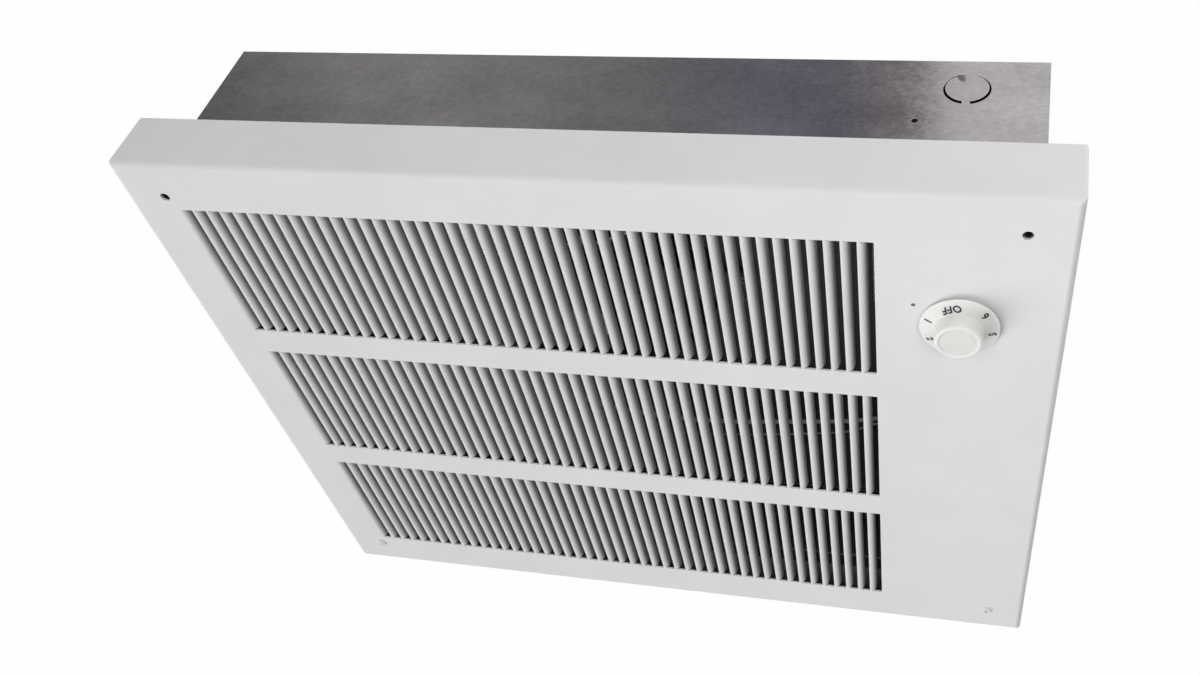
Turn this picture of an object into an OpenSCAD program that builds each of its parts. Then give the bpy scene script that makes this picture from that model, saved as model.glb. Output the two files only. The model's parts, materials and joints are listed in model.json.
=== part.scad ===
// Recessed electric fan heater for a wall: a white sheet-steel front cover with three rows of
// pressed louvres over a galvanised wall box that holds the fan, the heating element and the controls.
// X is to the right, Y goes into the wall and Z is up. The origin is in the plane of the finished
// wall, behind the middle of the cover.

/* [Front cover] */
// Width of the cover
cover_w = 502; // [470:2:560]
// Height of the cover
cover_h = 400; // [384:2:440]
// Depth of the cover's folded edge, from the wall to the front face
cover_d = 38; // [35:1:46]
// Sheet thickness of the cover
cover_t = 1.2; // [0.8:0.1:1.6]
// Outside radius of the fold round the face
cover_fold_r = 3.5; // [2:0.5:5]
// Cover screw centre, in from the cover's side
cover_screw_x = 24; // [23:0.5:26]
// Cover screw centre, in from the cover's top or bottom
cover_screw_z = 23; // [23:0.5:26]
// Clearance hole for a cover screw
cover_hole_d = 5.2; // [4.4:0.1:6]
// Clearance hole for the thermostat shaft
cover_shaft_hole_d = 12; // [10:0.5:16]

/* [Louvres] */
// Rows of louvres, one above another
louvre_rows = 3; // [2:1:4]
// Distance from one louvre to the next
louvre_pitch = 8.25; // [7.5:0.05:8.3]
// First louvre, in from the cover's left side
grille_x = 27.5; // [26:0.5:34]
// Plain part of the face to the right of the grille, in front of the controls
control_w = 94.5; // [94:0.5:104]
// First row, in from the cover's top or bottom
grille_z = 32; // [31:1:40]
// Plain band between two rows
grille_band = 19.8; // [16:0.2:26]
// Flat strip of face left between two louvres
louvre_land = 0.6; // [0.6:0.1:1.2]
// Width over which a louvre's ends stay joined to the face, land included
louvre_root = 1.6; // [1.4:0.1:2.4]
// Inside radius of a louvre's bend
louvre_bend_r = 2.4; // [1.6:0.1:2.6]
// Angle that a louvre is pressed inwards
louvre_angle = 80; // [65:1:85]
// Depth of a louvre behind the front of the face
louvre_depth = 5.8; // [5:0.2:7]
// Cut at each end of a louvre's blade
louvre_end_gap = 0.8; // [0.4:0.1:1.5]

/* [Wall box] */
// Cover's overlap over the box at the sides
box_overlap_x = 17; // [16:0.5:18]
// Cover's overlap over the box at the top and bottom
box_overlap_z = 17; // [16:0.5:18]
// Depth of the box behind the wall plane
box_d = 85; // [82:1:100]
// Front edge of the box, forward of the wall plane
box_lead = 3; // [1:0.5:6]
// Sheet thickness of the box
box_t = 1.0; // [0.8:0.1:1.5]
// Width of the box ends' welded flanges
end_flange = 12; // [8:1:16]
// Width of the tabs at the box ends' front corners
front_tab = 14; // [13:0.5:16]
// Height of the tabs at the box ends' front corners
front_tab_h = 26; // [14:1:30]
// Width of the box's front flanges, which stand out inside the cover
front_flange = 14; // [8:1:15]
// Gap between the front flanges and the tabs at the box ends
flange_gap = 2; // [1:0.5:5]
// Stud fixing hole
stud_hole_d = 5; // [4:0.5:6]
// Stud fixing holes, front to back
stud_pitch_y = 36; // [24:2:40]
// Stud fixing holes, top to bottom
stud_pitch_z = 260; // [200:10:300]
// Diameter of a knockout for a half inch conduit fitting
knockout_d = 22.2; // [20:0.1:28]
// Width of the slot pressed round a knockout
knockout_slot = 0.9; // [0.6:0.1:1.4]
// Angle of each bridge that still holds a knockout
knockout_bridge = 16; // [8:1:30]
// Knockout centre, in from the box's right side
knockout_x = 41; // [36:1:46]
// Knockout centre, in from the box's back
knockout_y = 24; // [20:1:30]

/* [Inner sheet metal] */
// Thickness of the inner sheets
inner_t = 1.2; // [0.8:0.1:1.6]
// Gap from the grille's right end to the control divider
divider_gap = 6; // [4:1:8]
// Gap from the louvres to the inner sheets' front edges
inner_gap = 4.6; // [3:0.2:6]
// Space behind the fan deck
plenum_d = 49; // [46:1:52]
// Width of the inner sheets' fixing flanges
inner_flange = 11; // [9:1:12]

/* [Fan] */
// Fan blade diameter
fan_d = 170; // [150:2:180]
// Gap from the blade tips to the orifice
fan_gap = 4; // [3:0.5:6]
// Number of blades
fan_blades_n = 5; // [4:1:6]
// Blade width along its chord
blade_chord = 44; // [36:1:46]
// Blade pitch angle
blade_pitch = 25; // [18:1:28]
// Blade thickness
blade_t = 1.2; // [0.8:0.1:2]
// Blade centre behind the fan deck
blade_back = 12; // [11:0.5:14]
// Hub diameter
hub_d = 28; // [24:1:32]
// Hub length
hub_l = 16; // [12:1:18]
// Length of the orifice's collar
collar_l = 7; // [4:1:9]

/* [Motor] */
// Motor shaft diameter
motor_shaft_d = 5; // [4:0.5:6]
// Width and height of the lamination stack round the rotor
stack_w = 60; // [56:1:64]
// Thickness of the stack
stack_t = 20; // [16:1:22]
// Rotor diameter
rotor_d = 31; // [28:0.5:32]
// Gap between rotor and stack
rotor_gap = 0.4; // [0.3:0.1:0.8]
// Length of each motor end bracket
motor_end_l = 8; // [7:0.5:9]
// Outer diameter of the bearings
bearing_d = 12; // [10:0.5:13]
// Motor screw distance from the shaft
motor_screw_x = 24; // [22:0.5:26]
// Motor screw diameter
motor_screw_d = 4; // [3:0.5:4]
// Height of the motor strap
strap_h = 24; // [22:1:30]
// Thickness of the motor strap
strap_t = 2; // [1.5:0.1:2.5]
// Thickness of the rubber motor mounts
mount_h = 4; // [3:0.5:5]
// Diameter of the rubber motor mounts
mount_d = 10; // [9:0.5:11]
// Running clearance, on the radius, of every shaft in its bearing
run_gap = 0.05; // [0.03:0.01:0.08]

/* [Heating element] */
// Diameter of the element's sheath
element_d = 8; // [7:0.5:9]
// Fin diameter
fin_d = 30; // [24:1:32]
// Fin thickness
fin_t = 0.8; // [0.6:0.1:1]
// Fin pitch
fin_pitch = 5; // [4:0.5:7]
// Distance between the element's two runs
element_pitch = 42; // [38:1:46]
// Diameter of the ceramic bushings
bushing_d = 15; // [13:0.5:17]

/* [Thermostat] */
// Knob centre, in from the cover's right side
knob_x = 52.5; // [50:0.5:54]
// Knob centre, down from the cover's top
knob_z = 86; // [80:0.5:95]
// Diameter of the knob's dial skirt
dial_d = 40.2; // [36:0.2:46]
// Thickness of the dial skirt's edge
dial_edge = 1.8; // [1.6:0.1:3]
// Rise of the dial skirt to the grip
dial_rise = 2; // [1:0.2:3]
// Diameter of the knob's grip at its front
grip_d = 23.8; // [18:0.2:25]
// Taper of the grip, on the radius
grip_taper = 0.8; // [0:0.1:1.5]
// Height of the whole knob
knob_h = 12; // [11:0.5:18]
// Depth of the shallow dish in the knob's front
knob_dish = 0.8; // [0.4:0.1:1]
// Width of the rim round that dish
knob_rim_w = 1.8; // [1.4:0.1:3]
// Wall of the knob's moulding
knob_wall = 1.6; // [1.2:0.1:2]
// Gap between the knob and the cover
knob_gap = 1.6; // [0.4:0.1:2]
// Thermostat shaft diameter
shaft_d = 6; // [5:0.5:6.5]
// Width of the thermostat's body
stat_w = 36; // [30:1:38]
// Height of the thermostat's body
stat_h = 46; // [40:1:50]
// Depth of the thermostat's body
stat_d = 24; // [18:1:28]
// Control bracket's front, behind the cover's face
bracket_back = 22; // [20:0.5:24]

/* [Controls] */
// Width of the disconnect switch
switch_w = 22; // [20:1:26]
// Height of the disconnect switch
switch_h = 34; // [30:1:38]
// Depth of the disconnect switch
switch_d = 24; // [20:1:28]
// Rocker diameter, across its curved sides
rocker_d = 18; // [16:0.5:20]
// Rocker width
rocker_w = 9; // [7:0.5:11]
// Rocker travel, from on to off
rocker_travel = 24; // [16:1:30]
// Diameter of the thermal limit's body
limit_d = 17; // [15:0.5:20]
// Reset button diameter
button_d = 5; // [4:0.5:6]
// Reset button travel
button_travel = 1.5; // [1:0.1:2]
// Insulation diameter of the internal leads
lead_d = 3; // [2.4:0.2:3.4]

/* [Hidden] */
$fn = 48;

// Small overlap that makes a cut pass clean through, and the gap left between loose pieces
cut = 1;
loose = 0.3;

// Cover
face_y = -cover_d;
face_in = face_y + cover_t;
cover_hole_x = cover_w / 2 - cover_screw_x;
cover_hole_z = cover_h / 2 - cover_screw_z;
row_h = (cover_h - 2 * grille_z - (louvre_rows - 1) * grille_band) / louvre_rows;
row_step = row_h + grille_band;
grille_x0 = -cover_w / 2 + grille_x;
louvre_n = floor((cover_w - grille_x - control_w) / louvre_pitch);
grille_x1 = grille_x0 + louvre_n * louvre_pitch;
louvre_out_r = louvre_bend_r + cover_t;

// Wall box
box_w = cover_w - 2 * box_overlap_x;
box_h = cover_h - 2 * box_overlap_z;
box_in_x = box_w / 2 - box_t;
box_in_z = box_h / 2 - box_t;
box_in_y = box_d - box_t;
stud_mid_y = box_d / 2;
post_d = 9.5;
post_spigot_d = 6;
post_bore_d = 3.5;
cover_screw_l = 14;
cover_head_d = 7.6;
cover_head_h = 1.4;

// Inner sheets
inner_front = face_y + louvre_depth + inner_gap;
divider_x = grille_x1 + divider_gap;
control_x = divider_x + inner_t;
deck_back = box_in_y - plenum_d;
deck_front = deck_back - inner_t;
deck_top = box_in_z - box_t - loose;
shelf_z = -cover_h / 2 + grille_z + row_h + grille_band / 2;
divider_screw_x = control_x + inner_flange / 2;
divider_screw_y = deck_back;
small_screw_d = 3;
small_hole_d = 3.2;
small_head_d = 6.5;
small_head_h = 2;

// Fan and motor
fan_x = (divider_x - box_in_x) / 2;
fan_z = (shelf_z + box_in_z) / 2;
orifice_d = fan_d + 2 * fan_gap;
strap_edge = 14;
deck_screw_in = 30;
blade_y = deck_back + blade_back;
strap_back = deck_front - mount_h;
strap_front = strap_back - strap_t;
stack_back = strap_front - motor_end_l;
stack_front = stack_back - stack_t;
motor_front = stack_front - motor_end_l;
motor_head_h = 2.4;
end_plate_t = 2;
end_leg_d = 9;
end_ear = 7;
shaft_stub = 2;
bearing_l = motor_end_l - 1;
bearing_bore_d = motor_shaft_d + 2 * run_gap;
boss_d = bearing_d + 5;
strap_screw_x = orifice_d / 2 + strap_edge;
strap_screw_z = strap_h / 2 - mount_d / 2;
stator_bore_d = rotor_d + 2 * rotor_gap;
leg_w = 13;
leg_window = 20;
leg_h = 48;
leg_x = -stack_w / 2 - leg_window;
coil_build = 7;
nut_h = 3.2;
nut_d = 7.4;

// Heating element
chamber_z = (shelf_z - inner_t - box_in_z) / 2;
element_y = 22;
element_top = chamber_z + element_pitch / 2;
element_low = chamber_z - element_pitch / 2;
bend_gap = 10;
bend_x = -box_in_x + element_pitch / 2 + element_d / 2 + bend_gap;
fin_start = 8;
fin_end = 12;
fins_x0 = bend_x + fin_start;
fins_x1 = divider_x - fin_end;
pin_l = 14;
pin_x1 = control_x + pin_l;
stud_d = 4;
stud_l = 9;
stud_nut_d = 7;
bracket_in = 50;
bracket_edge = 3;
bracket_left_x = bend_x + bracket_in;
bracket_right_x = divider_x - bracket_in;
bracket_front_y = element_y - fin_d / 2 - bracket_edge;
bracket_z = element_pitch / 2 + fin_d / 2 + bracket_edge;
bushing_l = 8;
bushing_step = 3;

// Thermostat and controls
stat_x = cover_w / 2 - knob_x;
stat_z = cover_h / 2 - knob_z;
bracket_y = face_y + bracket_back;
bracket_back_y = bracket_y + inner_t;
bracket_x1 = stat_x + stat_w / 2 + 6;
bush_d = 9.4;
bush_l = 9;
bush_nut_d = 14;
bush_nut_h = 2.5;
knob_back = face_y - knob_gap;
knob_front = knob_back - knob_h;
shaft_tip = knob_front + knob_wall + 1;
shaft_end = bracket_back_y + stat_d / 2;
grip_r0 = grip_d / 2 + grip_taper;
knob_boss_d = shaft_d + 5;
switch_z = stat_z - stat_h / 2 - switch_h / 2 - 8;
bracket_top = stat_z + stat_h / 2 + 6;
bracket_low = switch_z - switch_h / 2 - 6;
bezel_rise = 1;
rocker_y = bracket_y - bezel_rise;
bracket_screw_y = 6;
BRACKET_SCREWS = [bracket_low + 10, bracket_top - 10];
switch_screw_z = switch_h / 2 - 2;
switch_screw_l = 6;
capillary_d = 1.6;
capillary_hole_d = 4;
capillary_gap = 0.8;
capillary_y = deck_front - inner_flange - capillary_hole_d / 2 - capillary_gap;
capillary_z = stat_z + stat_h / 2 + 1;
bracket_side_y = capillary_y - capillary_hole_d / 2;
pin_d = 3;
limit_y = element_y + 12;
limit_z = chamber_z;
limit_l = 10;
relay_z = switch_z - 62;
relay_w = 18;
relay_h = 30;
relay_l = 24;
relay_y = 34;
block_z = relay_z - 60;
block_hole_d = 6.6;
block_screw_d = 6;
block_screw_x = 6;
block_well = 5;
block_floor = 3;
block_w = 26;
block_h = 48;
block_l = 16;
block_pole = 15;
control_mid_x = (control_x + box_in_x) / 2;
ground_z = -box_in_z + 22;
knockout_up = 30;
grommet_z = shelf_z + 26;
grommet_y = 8;
grommet_d = 14;
grommet_step = 3;
grommet_lip = 1.5;

grommet_bore_d = 8.5;

// Terminal tags, and where their free ends lie
tag_w = 5;
tag_t = 0.8;
tag_l = 6;
tag_pitch = 16;
tag_gap = 5;
bezel_w = switch_w / 2 - 2;
bezel_h = switch_h / 2 - 5.5;
switch_tag_y = bracket_back_y + switch_d + tag_l;
stat_tag_y = bracket_back_y + stat_d + tag_l;
stat_tag_z = stat_z - 8;
limit_tag_x = control_x + limit_l - 3;
limit_tag_z = limit_z + limit_d / 2 + tag_l;
relay_tag_x = control_x + 9;
relay_tag_z = relay_z - relay_h / 2 - tag_l;
stud_x = pin_x1 + stud_l;
block_x = control_mid_x + 6;
block_y = box_in_y - block_l;
coil_y = stack_front - coil_build;
coil_x = fan_x + leg_x - leg_w / 2;

// Bulb and capillary of the thermostat
bulb_d = 6;
bulb_l = 60;
bulb_x = divider_x - 12;
bulb_y = 18;
bulb_top = stat_z + 16;

// Ends of the leads: the point off the terminal, and the next one straight out from it
function lead_end(p, out) = [p + 2 * loose * out, p + 7 * out];
function lead_start(p, out) = [p + 7 * out, p + 2 * loose * out];

// Control points of the leads, each from terminal to terminal
LEAD_LINE = concat(
    lead_end([block_x - block_screw_x, block_y, block_z + block_pole], [0, -1, 0]),
    [[block_x - block_screw_x, block_y - 22, block_z + block_pole + 22],
        [control_mid_x + 16, 34, relay_z + 4],
        [stat_x + 8, 32, switch_z - 26]],
    lead_start([stat_x, switch_tag_y, switch_z - tag_pitch / 2], [0, 1, 0]));
LEAD_STAT = concat(
    lead_end([stat_x, switch_tag_y, switch_z + tag_pitch / 2], [0, 1, 0]),
    [[stat_x + 5, switch_tag_y + 13, (switch_z + stat_tag_z) / 2]],
    lead_start([stat_x + tag_pitch / 2, stat_tag_y, stat_tag_z], [0, 1, 0]));
LEAD_LIMIT = concat(
    lead_end([stat_x - tag_pitch / 2, stat_tag_y, stat_tag_z], [0, 1, 0]),
    [[stat_x - tag_pitch / 2 - 3, stat_tag_y + 16, stat_tag_z - 12],
        [control_x + 10, 58, switch_z + 4],
        [control_x + 9, 66, relay_z],
        [control_x + 8, 58, limit_z + 44]],
    lead_start([limit_tag_x, limit_y + tag_gap, limit_tag_z], [0, 0, 1]));
LEAD_ELEMENT = concat(
    lead_end([limit_tag_x, limit_y - tag_gap, limit_tag_z], [0, 0, 1]),
    [[limit_tag_x + 5, limit_y - 3, limit_tag_z + 17],
        [stud_x + 6, element_y + 4, element_top + 17],
        [stud_x + 13, element_y + 1, element_top + 8]],
    lead_start([stud_x, element_y, element_top], [1, 0, 0]));
LEAD_NEUTRAL = concat(
    lead_end([stud_x, element_y, element_low], [1, 0, 0]),
    [[box_in_x - 20, element_y + 6, chamber_z - 8],
        [control_mid_x + 22, 46, chamber_z],
        [block_x + block_screw_x + 8, block_y - 18, block_z - block_pole - 6]],
    lead_start([block_x + block_screw_x, block_y, block_z - block_pole], [0, -1, 0]));
LEAD_MOTOR_A = concat(
    lead_end([coil_x - 4, coil_y, fan_z - 4], [0, -1, 0]),
    [[coil_x + 4, coil_y - 11, fan_z - 14],
        [fan_x - 20, -6, shelf_z + 36],
        [fan_x + 60, -4, shelf_z + 14],
        [divider_x - 40, 2, shelf_z + 18],
        [divider_x - 12, grommet_y - 2, grommet_z],
        [control_x + 12, grommet_y - 2, grommet_z],
        [control_x + 18, 14, relay_tag_z - 16]],
    lead_start([relay_tag_x, relay_y - tag_gap, relay_tag_z], [0, 0, -1]));
LEAD_MOTOR_B = concat(
    lead_end([coil_x + 6, coil_y, fan_z - 4], [0, -1, 0]),
    [[coil_x + 18, coil_y - 10, fan_z - 12],
        [fan_x - 10, -2, shelf_z + 42],
        [fan_x + 64, 2, shelf_z + 20],
        [divider_x - 40, 8, shelf_z + 22],
        [divider_x - 12, grommet_y + 2, grommet_z],
        [control_x + 12, grommet_y + 2, grommet_z],
        [control_x + 30, 22, grommet_z - 20],
        [block_x + block_screw_x + 6, 40, block_z + block_pole + 16]],
    lead_start([block_x + block_screw_x, block_y, block_z + block_pole], [0, -1, 0]));
CAPILLARY = concat(
    lead_end([stat_x, bracket_back_y + stat_d, stat_z + 14], [0, 1, 0]),
    [[control_x + 16, 22, capillary_z],
        [control_x + 5, capillary_y, capillary_z],
        [divider_x - 5, capillary_y, capillary_z]],
    lead_start([bulb_x, bulb_y, bulb_top], [0, 0, 1]));

// Unit vector along v
function unit(v) = v / norm(v);

// Point at t on the smooth curve through b and c, with a before them and d after
function blend(a, b, c, d, t) =
    0.5 * (2 * b + (c - a) * t + (2 * a - 5 * b + 4 * c - d) * t * t
    + (3 * b - a - 3 * c + d) * t * t * t);

// Smooth path through the points p, with n steps between two of them
function smooth(p, n) = concat(
    [for (i = [0:len(p) - 2]) for (k = [0:n - 1])
        blend(p[max(i - 1, 0)], p[i], p[i + 1], p[min(i + 2, len(p) - 1)], k / n)],
    [p[len(p) - 1]]);

// Directions along the path q
function headings(q) = [for (i = [0:len(q) - 1])
    unit(q[min(i + 1, len(q) - 1)] - q[max(i - 1, 0)])];

// Side vectors carried along the headings h without twist
function sides_of(h, i, side) = i == len(h) ? [] :
    let (s = unit(side - (side * h[i]) * h[i])) concat([s], sides_of(h, i + 1, s));

// Round tube of diameter d along the path through p
module tube(p, d, n = 5, sides = 8) {
    q = smooth(p, n);
    h = headings(q);
    s = sides_of(h, 0, [0.31, 0.17, 0.93]);
    last = (len(q) - 1) * sides;
    rings = [for (i = [0:len(q) - 1]) for (k = [0:sides - 1])
        let (a = 360 * k / sides) q[i] + d / 2 * (cos(a) * s[i] + sin(a) * cross(h[i], s[i]))];
    walls = [for (i = [0:len(q) - 2]) for (k = [0:sides - 1])
        let (a = i * sides + k, b = i * sides + (k + 1) % sides)
        each [[a, a + sides, b], [b, a + sides, b + sides]]];
    front = [for (k = [1:sides - 2]) [0, k, k + 1]];
    back = [for (k = [1:sides - 2]) [last, last + k + 1, last + k]];
    polyhedron(rings, concat(walls, front, back));
}

// Outline in X and Z made a plate from y0 to y1
module plate_y(y0, y1) {
    translate([0, y1, 0])
        rotate([90, 0, 0])
            linear_extrude(y1 - y0)
                children();
}

// Outline in Y and Z made a plate from x0 to x1
module plate_x(x0, x1) {
    translate([x0, 0, 0])
        rotate([90, 0, 90])
            linear_extrude(x1 - x0)
                children();
}

// Block between two corners
module block(a, b) {
    translate(a)
        cube(b - a);
}

// Cylinder along Y from y0 to y1
module rod_y(x, z, d, y0, y1) {
    translate([x, y0, z])
        rotate([-90, 0, 0])
            cylinder(d = d, h = y1 - y0);
}

// Cylinder along X from x0 to x1
module rod_x(y, z, d, x0, x1) {
    translate([x0, y, z])
        rotate([0, 90, 0])
            cylinder(d = d, h = x1 - x0);
}

// Rectangle round the centre with round corners
module round_rect(w, h, r) {
    square([w - 2 * r, h], center = true);
    square([w, h - 2 * r], center = true);
    for (x = [-1, 1])
        for (z = [-1, 1])
            translate([x * (w / 2 - r), z * (h / 2 - r)])
                circle(r);
}

// Pan-head screw along +Z, with its head's underside at 0 and a cross cut in the head
module pan_screw(shank_d, length, head_d, head_h) {
    difference() {
        rotate_extrude()
            polygon(concat([[0, 0], [head_d / 2, 0], [head_d / 2, -head_h * 0.35]],
                [for (a = [30:20:90]) [head_d / 2 * cos(a) + head_d * 0.067 * (1 - a / 90),
                    -head_h * 0.35 - head_h * 0.65 * (sin(a) - 0.5) / 0.5]]));
        for (a = [0, 90])
            rotate([0, 0, a])
                block([-head_d * 0.3, -head_d * 0.06, -head_h - cut],
                    [head_d * 0.3, head_d * 0.06, -head_h * 0.45]);
    }
    cylinder(d = shank_d, h = length);
}

// Hexagon nut along +Z on a shank
module hex_nut(across, height, bore_d) {
    difference() {
        cylinder(d = across / cos(30), h = height, $fn = 6);
        translate([0, 0, -cut])
            cylinder(d = bore_d, h = height + 2 * cut);
    }
}

// Solid with the cover's outer shape, folded with radius r, shrunk by t at the face and sides
module folded_block(t, r, back) {
    w = cover_w / 2 - t;
    h = cover_h / 2 - t;
    y = face_y + t;
    intersection() {
        translate([0, 0, -h])
            linear_extrude(2 * h)
                fold_outline(w, y, r, back);
        rotate([0, 90, 0])
            translate([0, 0, -w])
                linear_extrude(2 * w)
                    fold_outline(h, y, r, back);
    }
}

// Rectangle from -w to w and from y to back, with its two front corners round
module fold_outline(w, y, r, back) {
    translate([-w, y + r])
        square([2 * w, back - y - r]);
    translate([-w + r, y])
        square([2 * (w - r), r + cut]);
    for (x = [-1, 1])
        translate([x * (w - r), y + r])
            circle(r);
}

// Cross-section of a louvre: the land's edge, the round bend and the blade
module louvre_outline() {
    straight = (louvre_depth - louvre_out_r * (1 - cos(louvre_angle)) - cover_t * cos(louvre_angle))
        / sin(louvre_angle);
    reach = [cos(louvre_angle), sin(louvre_angle)] * straight;
    out_end = [louvre_land + louvre_out_r * sin(louvre_angle),
        louvre_out_r * (1 - cos(louvre_angle))];
    in_end = [louvre_land + louvre_bend_r * sin(louvre_angle),
        louvre_out_r - louvre_bend_r * cos(louvre_angle)];
    polygon(concat(
        [[louvre_land / 2, 0]],
        [for (k = [0:6]) let (a = louvre_angle * k / 6)
            [louvre_land + louvre_out_r * sin(a), louvre_out_r * (1 - cos(a))]],
        [out_end + reach, in_end + reach],
        [for (k = [6:-1:0]) let (a = louvre_angle * k / 6)
            [louvre_land + louvre_bend_r * sin(a), louvre_out_r - louvre_bend_r * cos(a)]],
        [[louvre_land / 2, cover_t]]));
}

// The part of the cross-section that stays joined to the face at the louvre's ends
module louvre_root_outline() {
    out = asin((louvre_root - louvre_land) / louvre_out_r);
    in = asin((louvre_root - louvre_land) / louvre_bend_r);
    polygon(concat(
        [[louvre_land / 2, 0]],
        [for (k = [0:2]) let (a = out * k / 2)
            [louvre_land + louvre_out_r * sin(a), louvre_out_r * (1 - cos(a))]],
        [for (k = [2:-1:0]) let (a = in * k / 2)
            [louvre_land + louvre_bend_r * sin(a), louvre_out_r - louvre_bend_r * cos(a)]],
        [[louvre_land / 2, cover_t]]));
}

// Places each row of louvres, with its lower end at the origin's height
module each_row() {
    for (i = [0:louvre_rows - 1])
        translate([0, 0, -cover_h / 2 + grille_z + i * row_step])
            children();
}

// Places a piece at each cover screw on the given sides of the middle
module each_corner(heights = [-1, 1]) {
    for (x = [-1, 1])
        for (z = heights)
            translate([x * cover_hole_x, 0, z * cover_hole_z])
                children();
}

// Ring slot of a knockout, cut through the sheet that lies at z, with two bridges left
module knockout_cut(turn) {
    difference() {
        cylinder(d = knockout_d + 2 * knockout_slot, h = 4 * cut, center = true);
        cylinder(d = knockout_d, h = 5 * cut, center = true);
        for (a = [0, 180])
            rotate([0, 0, turn + a])
                block([0, -knockout_d * sin(knockout_bridge / 2), -3 * cut],
                    [knockout_d, knockout_d * sin(knockout_bridge / 2), 3 * cut]);
    }
}

module wall_box() {
    hole_x = box_w / 2 - knockout_x;
    color("darkgray")
        difference() {
            union() {
                block([-box_w / 2, -box_lead, -box_h / 2], [box_w / 2, box_d, box_h / 2]);
                block([-box_w / 2, -box_lead, -box_h / 2 - front_flange],
                    [box_w / 2, -box_lead + box_t, box_h / 2 + front_flange]);
            }
            block([-box_w / 2 - cut, -box_lead - cut, -box_in_z], [box_w / 2 + cut, box_in_y, box_in_z]);
            for (z = [-1, 1])
                translate([hole_x, box_d - knockout_y, z * (box_h / 2 - box_t / 2)])
                    knockout_cut(-90);
            translate([hole_x, box_in_y + box_t / 2, ground_z + knockout_up])
                rotate([90, 0, 0])
                    knockout_cut(90);
            for (z = [-1, 1])
                translate([divider_screw_x, divider_screw_y, z * (box_in_z + box_t / 2)])
                    cylinder(d = small_hole_d, h = 4 * cut, center = true);
        }
}

// End of the box, drawn for the right side
module box_end() {
    flange_z = box_in_z - front_tab_h - flange_gap;
    difference() {
        union() {
            block([box_in_x, -box_lead, -flange_z], [box_w / 2 + front_flange, -box_lead + box_t, flange_z]);
            block([box_in_x, -box_lead, -box_in_z], [box_w / 2, box_in_y, box_in_z]);
            for (s = [0, 1])
                mirror([0, 0, s]) {
                    block([box_w / 2 - front_tab, -box_lead, box_in_z - front_tab_h],
                        [box_w / 2, -box_lead + box_t, box_in_z]);
                    block([box_w / 2 - end_flange, -box_lead, box_in_z - box_t],
                        [box_w / 2, box_in_y, box_in_z]);
                }
            block([box_w / 2 - end_flange, box_in_y - box_t, -box_in_z], [box_w / 2, box_in_y, box_in_z]);
        }
        for (y = [-1, 1])
            for (z = [-1, 1])
                rod_x(stud_mid_y + y * stud_pitch_y / 2, z * stud_pitch_z / 2, stud_hole_d,
                    box_in_x - cut, box_w / 2 + cut);
        for (z = [-1, 1])
            rod_y(cover_hole_x, z * cover_hole_z, post_spigot_d, -box_lead - cut, -box_lead + box_t + cut);
    }
}

module box_end_right() {
    color("silver")
        box_end();
}

module box_end_left() {
    color("silver")
        mirror([1, 0, 0])
            box_end();
}

module cover_posts() {
    color("darkslategray")
        each_corner()
            difference() {
                union() {
                    rod_y(0, 0, post_d, face_in, -box_lead);
                    rod_y(0, 0, post_spigot_d, -box_lead, -box_lead + box_t);
                }
                rod_y(0, 0, post_bore_d, face_in - cut, -box_lead + box_t + cut);
            }
}

module front_cover() {
    color("whitesmoke")
        union() {
            difference() {
                folded_block(0, cover_fold_r, 0);
                folded_block(cover_t, max(cover_fold_r - cover_t, 0.2), cut);
                plate_y(face_y - cut, face_in + cut)
                    louvre_slots();
                each_corner()
                    rod_y(0, 0, cover_hole_d, face_y - cut, face_in + cut);
                rod_y(stat_x, stat_z, cover_shaft_hole_d, face_y - cut, face_in + cut);
            }
            each_row()
                for (i = [0:louvre_n - 1])
                    translate([grille_x0 + i * louvre_pitch, face_y, 0]) {
                        linear_extrude(row_h)
                            louvre_root_outline();
                        translate([0, 0, louvre_end_gap])
                            linear_extrude(row_h - 2 * louvre_end_gap)
                                louvre_outline();
                    }
        }
}

// The slots between the lands, as an outline in X and Z
module louvre_slots() {
    for (r = [0:louvre_rows - 1])
        for (i = [0:louvre_n - 1])
            translate([grille_x0 + i * louvre_pitch + louvre_land,
                -cover_h / 2 + grille_z + r * row_step])
                square([louvre_pitch - louvre_land, row_h]);
}

// Screws of the cover's lower corners: the upper corners are open holes
module cover_screws() {
    color("whitesmoke")
        each_corner([-1])
            translate([0, face_y, 0])
                rotate([-90, 0, 0])
                    pan_screw(post_bore_d - 0.1, cover_screw_l, cover_head_d, cover_head_h);
}

module control_divider() {
    color("lightgray")
        difference() {
            union() {
                block([divider_x, inner_front, -box_in_z], [control_x, box_in_y, box_in_z]);
                for (s = [0, 1])
                    mirror([0, 0, s])
                        block([divider_x, inner_front, box_in_z - inner_t],
                            [control_x + inner_flange, box_in_y, box_in_z]);
                block([divider_x, box_in_y - inner_t, -box_in_z],
                    [control_x + inner_flange, box_in_y, box_in_z]);
            }
            for (z = [-1, 1])
                translate([divider_screw_x, divider_screw_y, z * box_in_z])
                    cylinder(d = small_hole_d, h = 6 * cut, center = true);
            for (z = [element_low, element_top])
                rod_x(element_y, z, bushing_d - bushing_step, divider_x - cut, control_x + cut);
            rod_x(grommet_y, grommet_z, grommet_d - grommet_step, divider_x - cut, control_x + cut);
            rod_x(capillary_y, capillary_z, capillary_hole_d, divider_x - cut, control_x + cut);
            rod_x(limit_y, limit_z, limit_d - 2, divider_x - cut, control_x + cut);
        }
}

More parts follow.
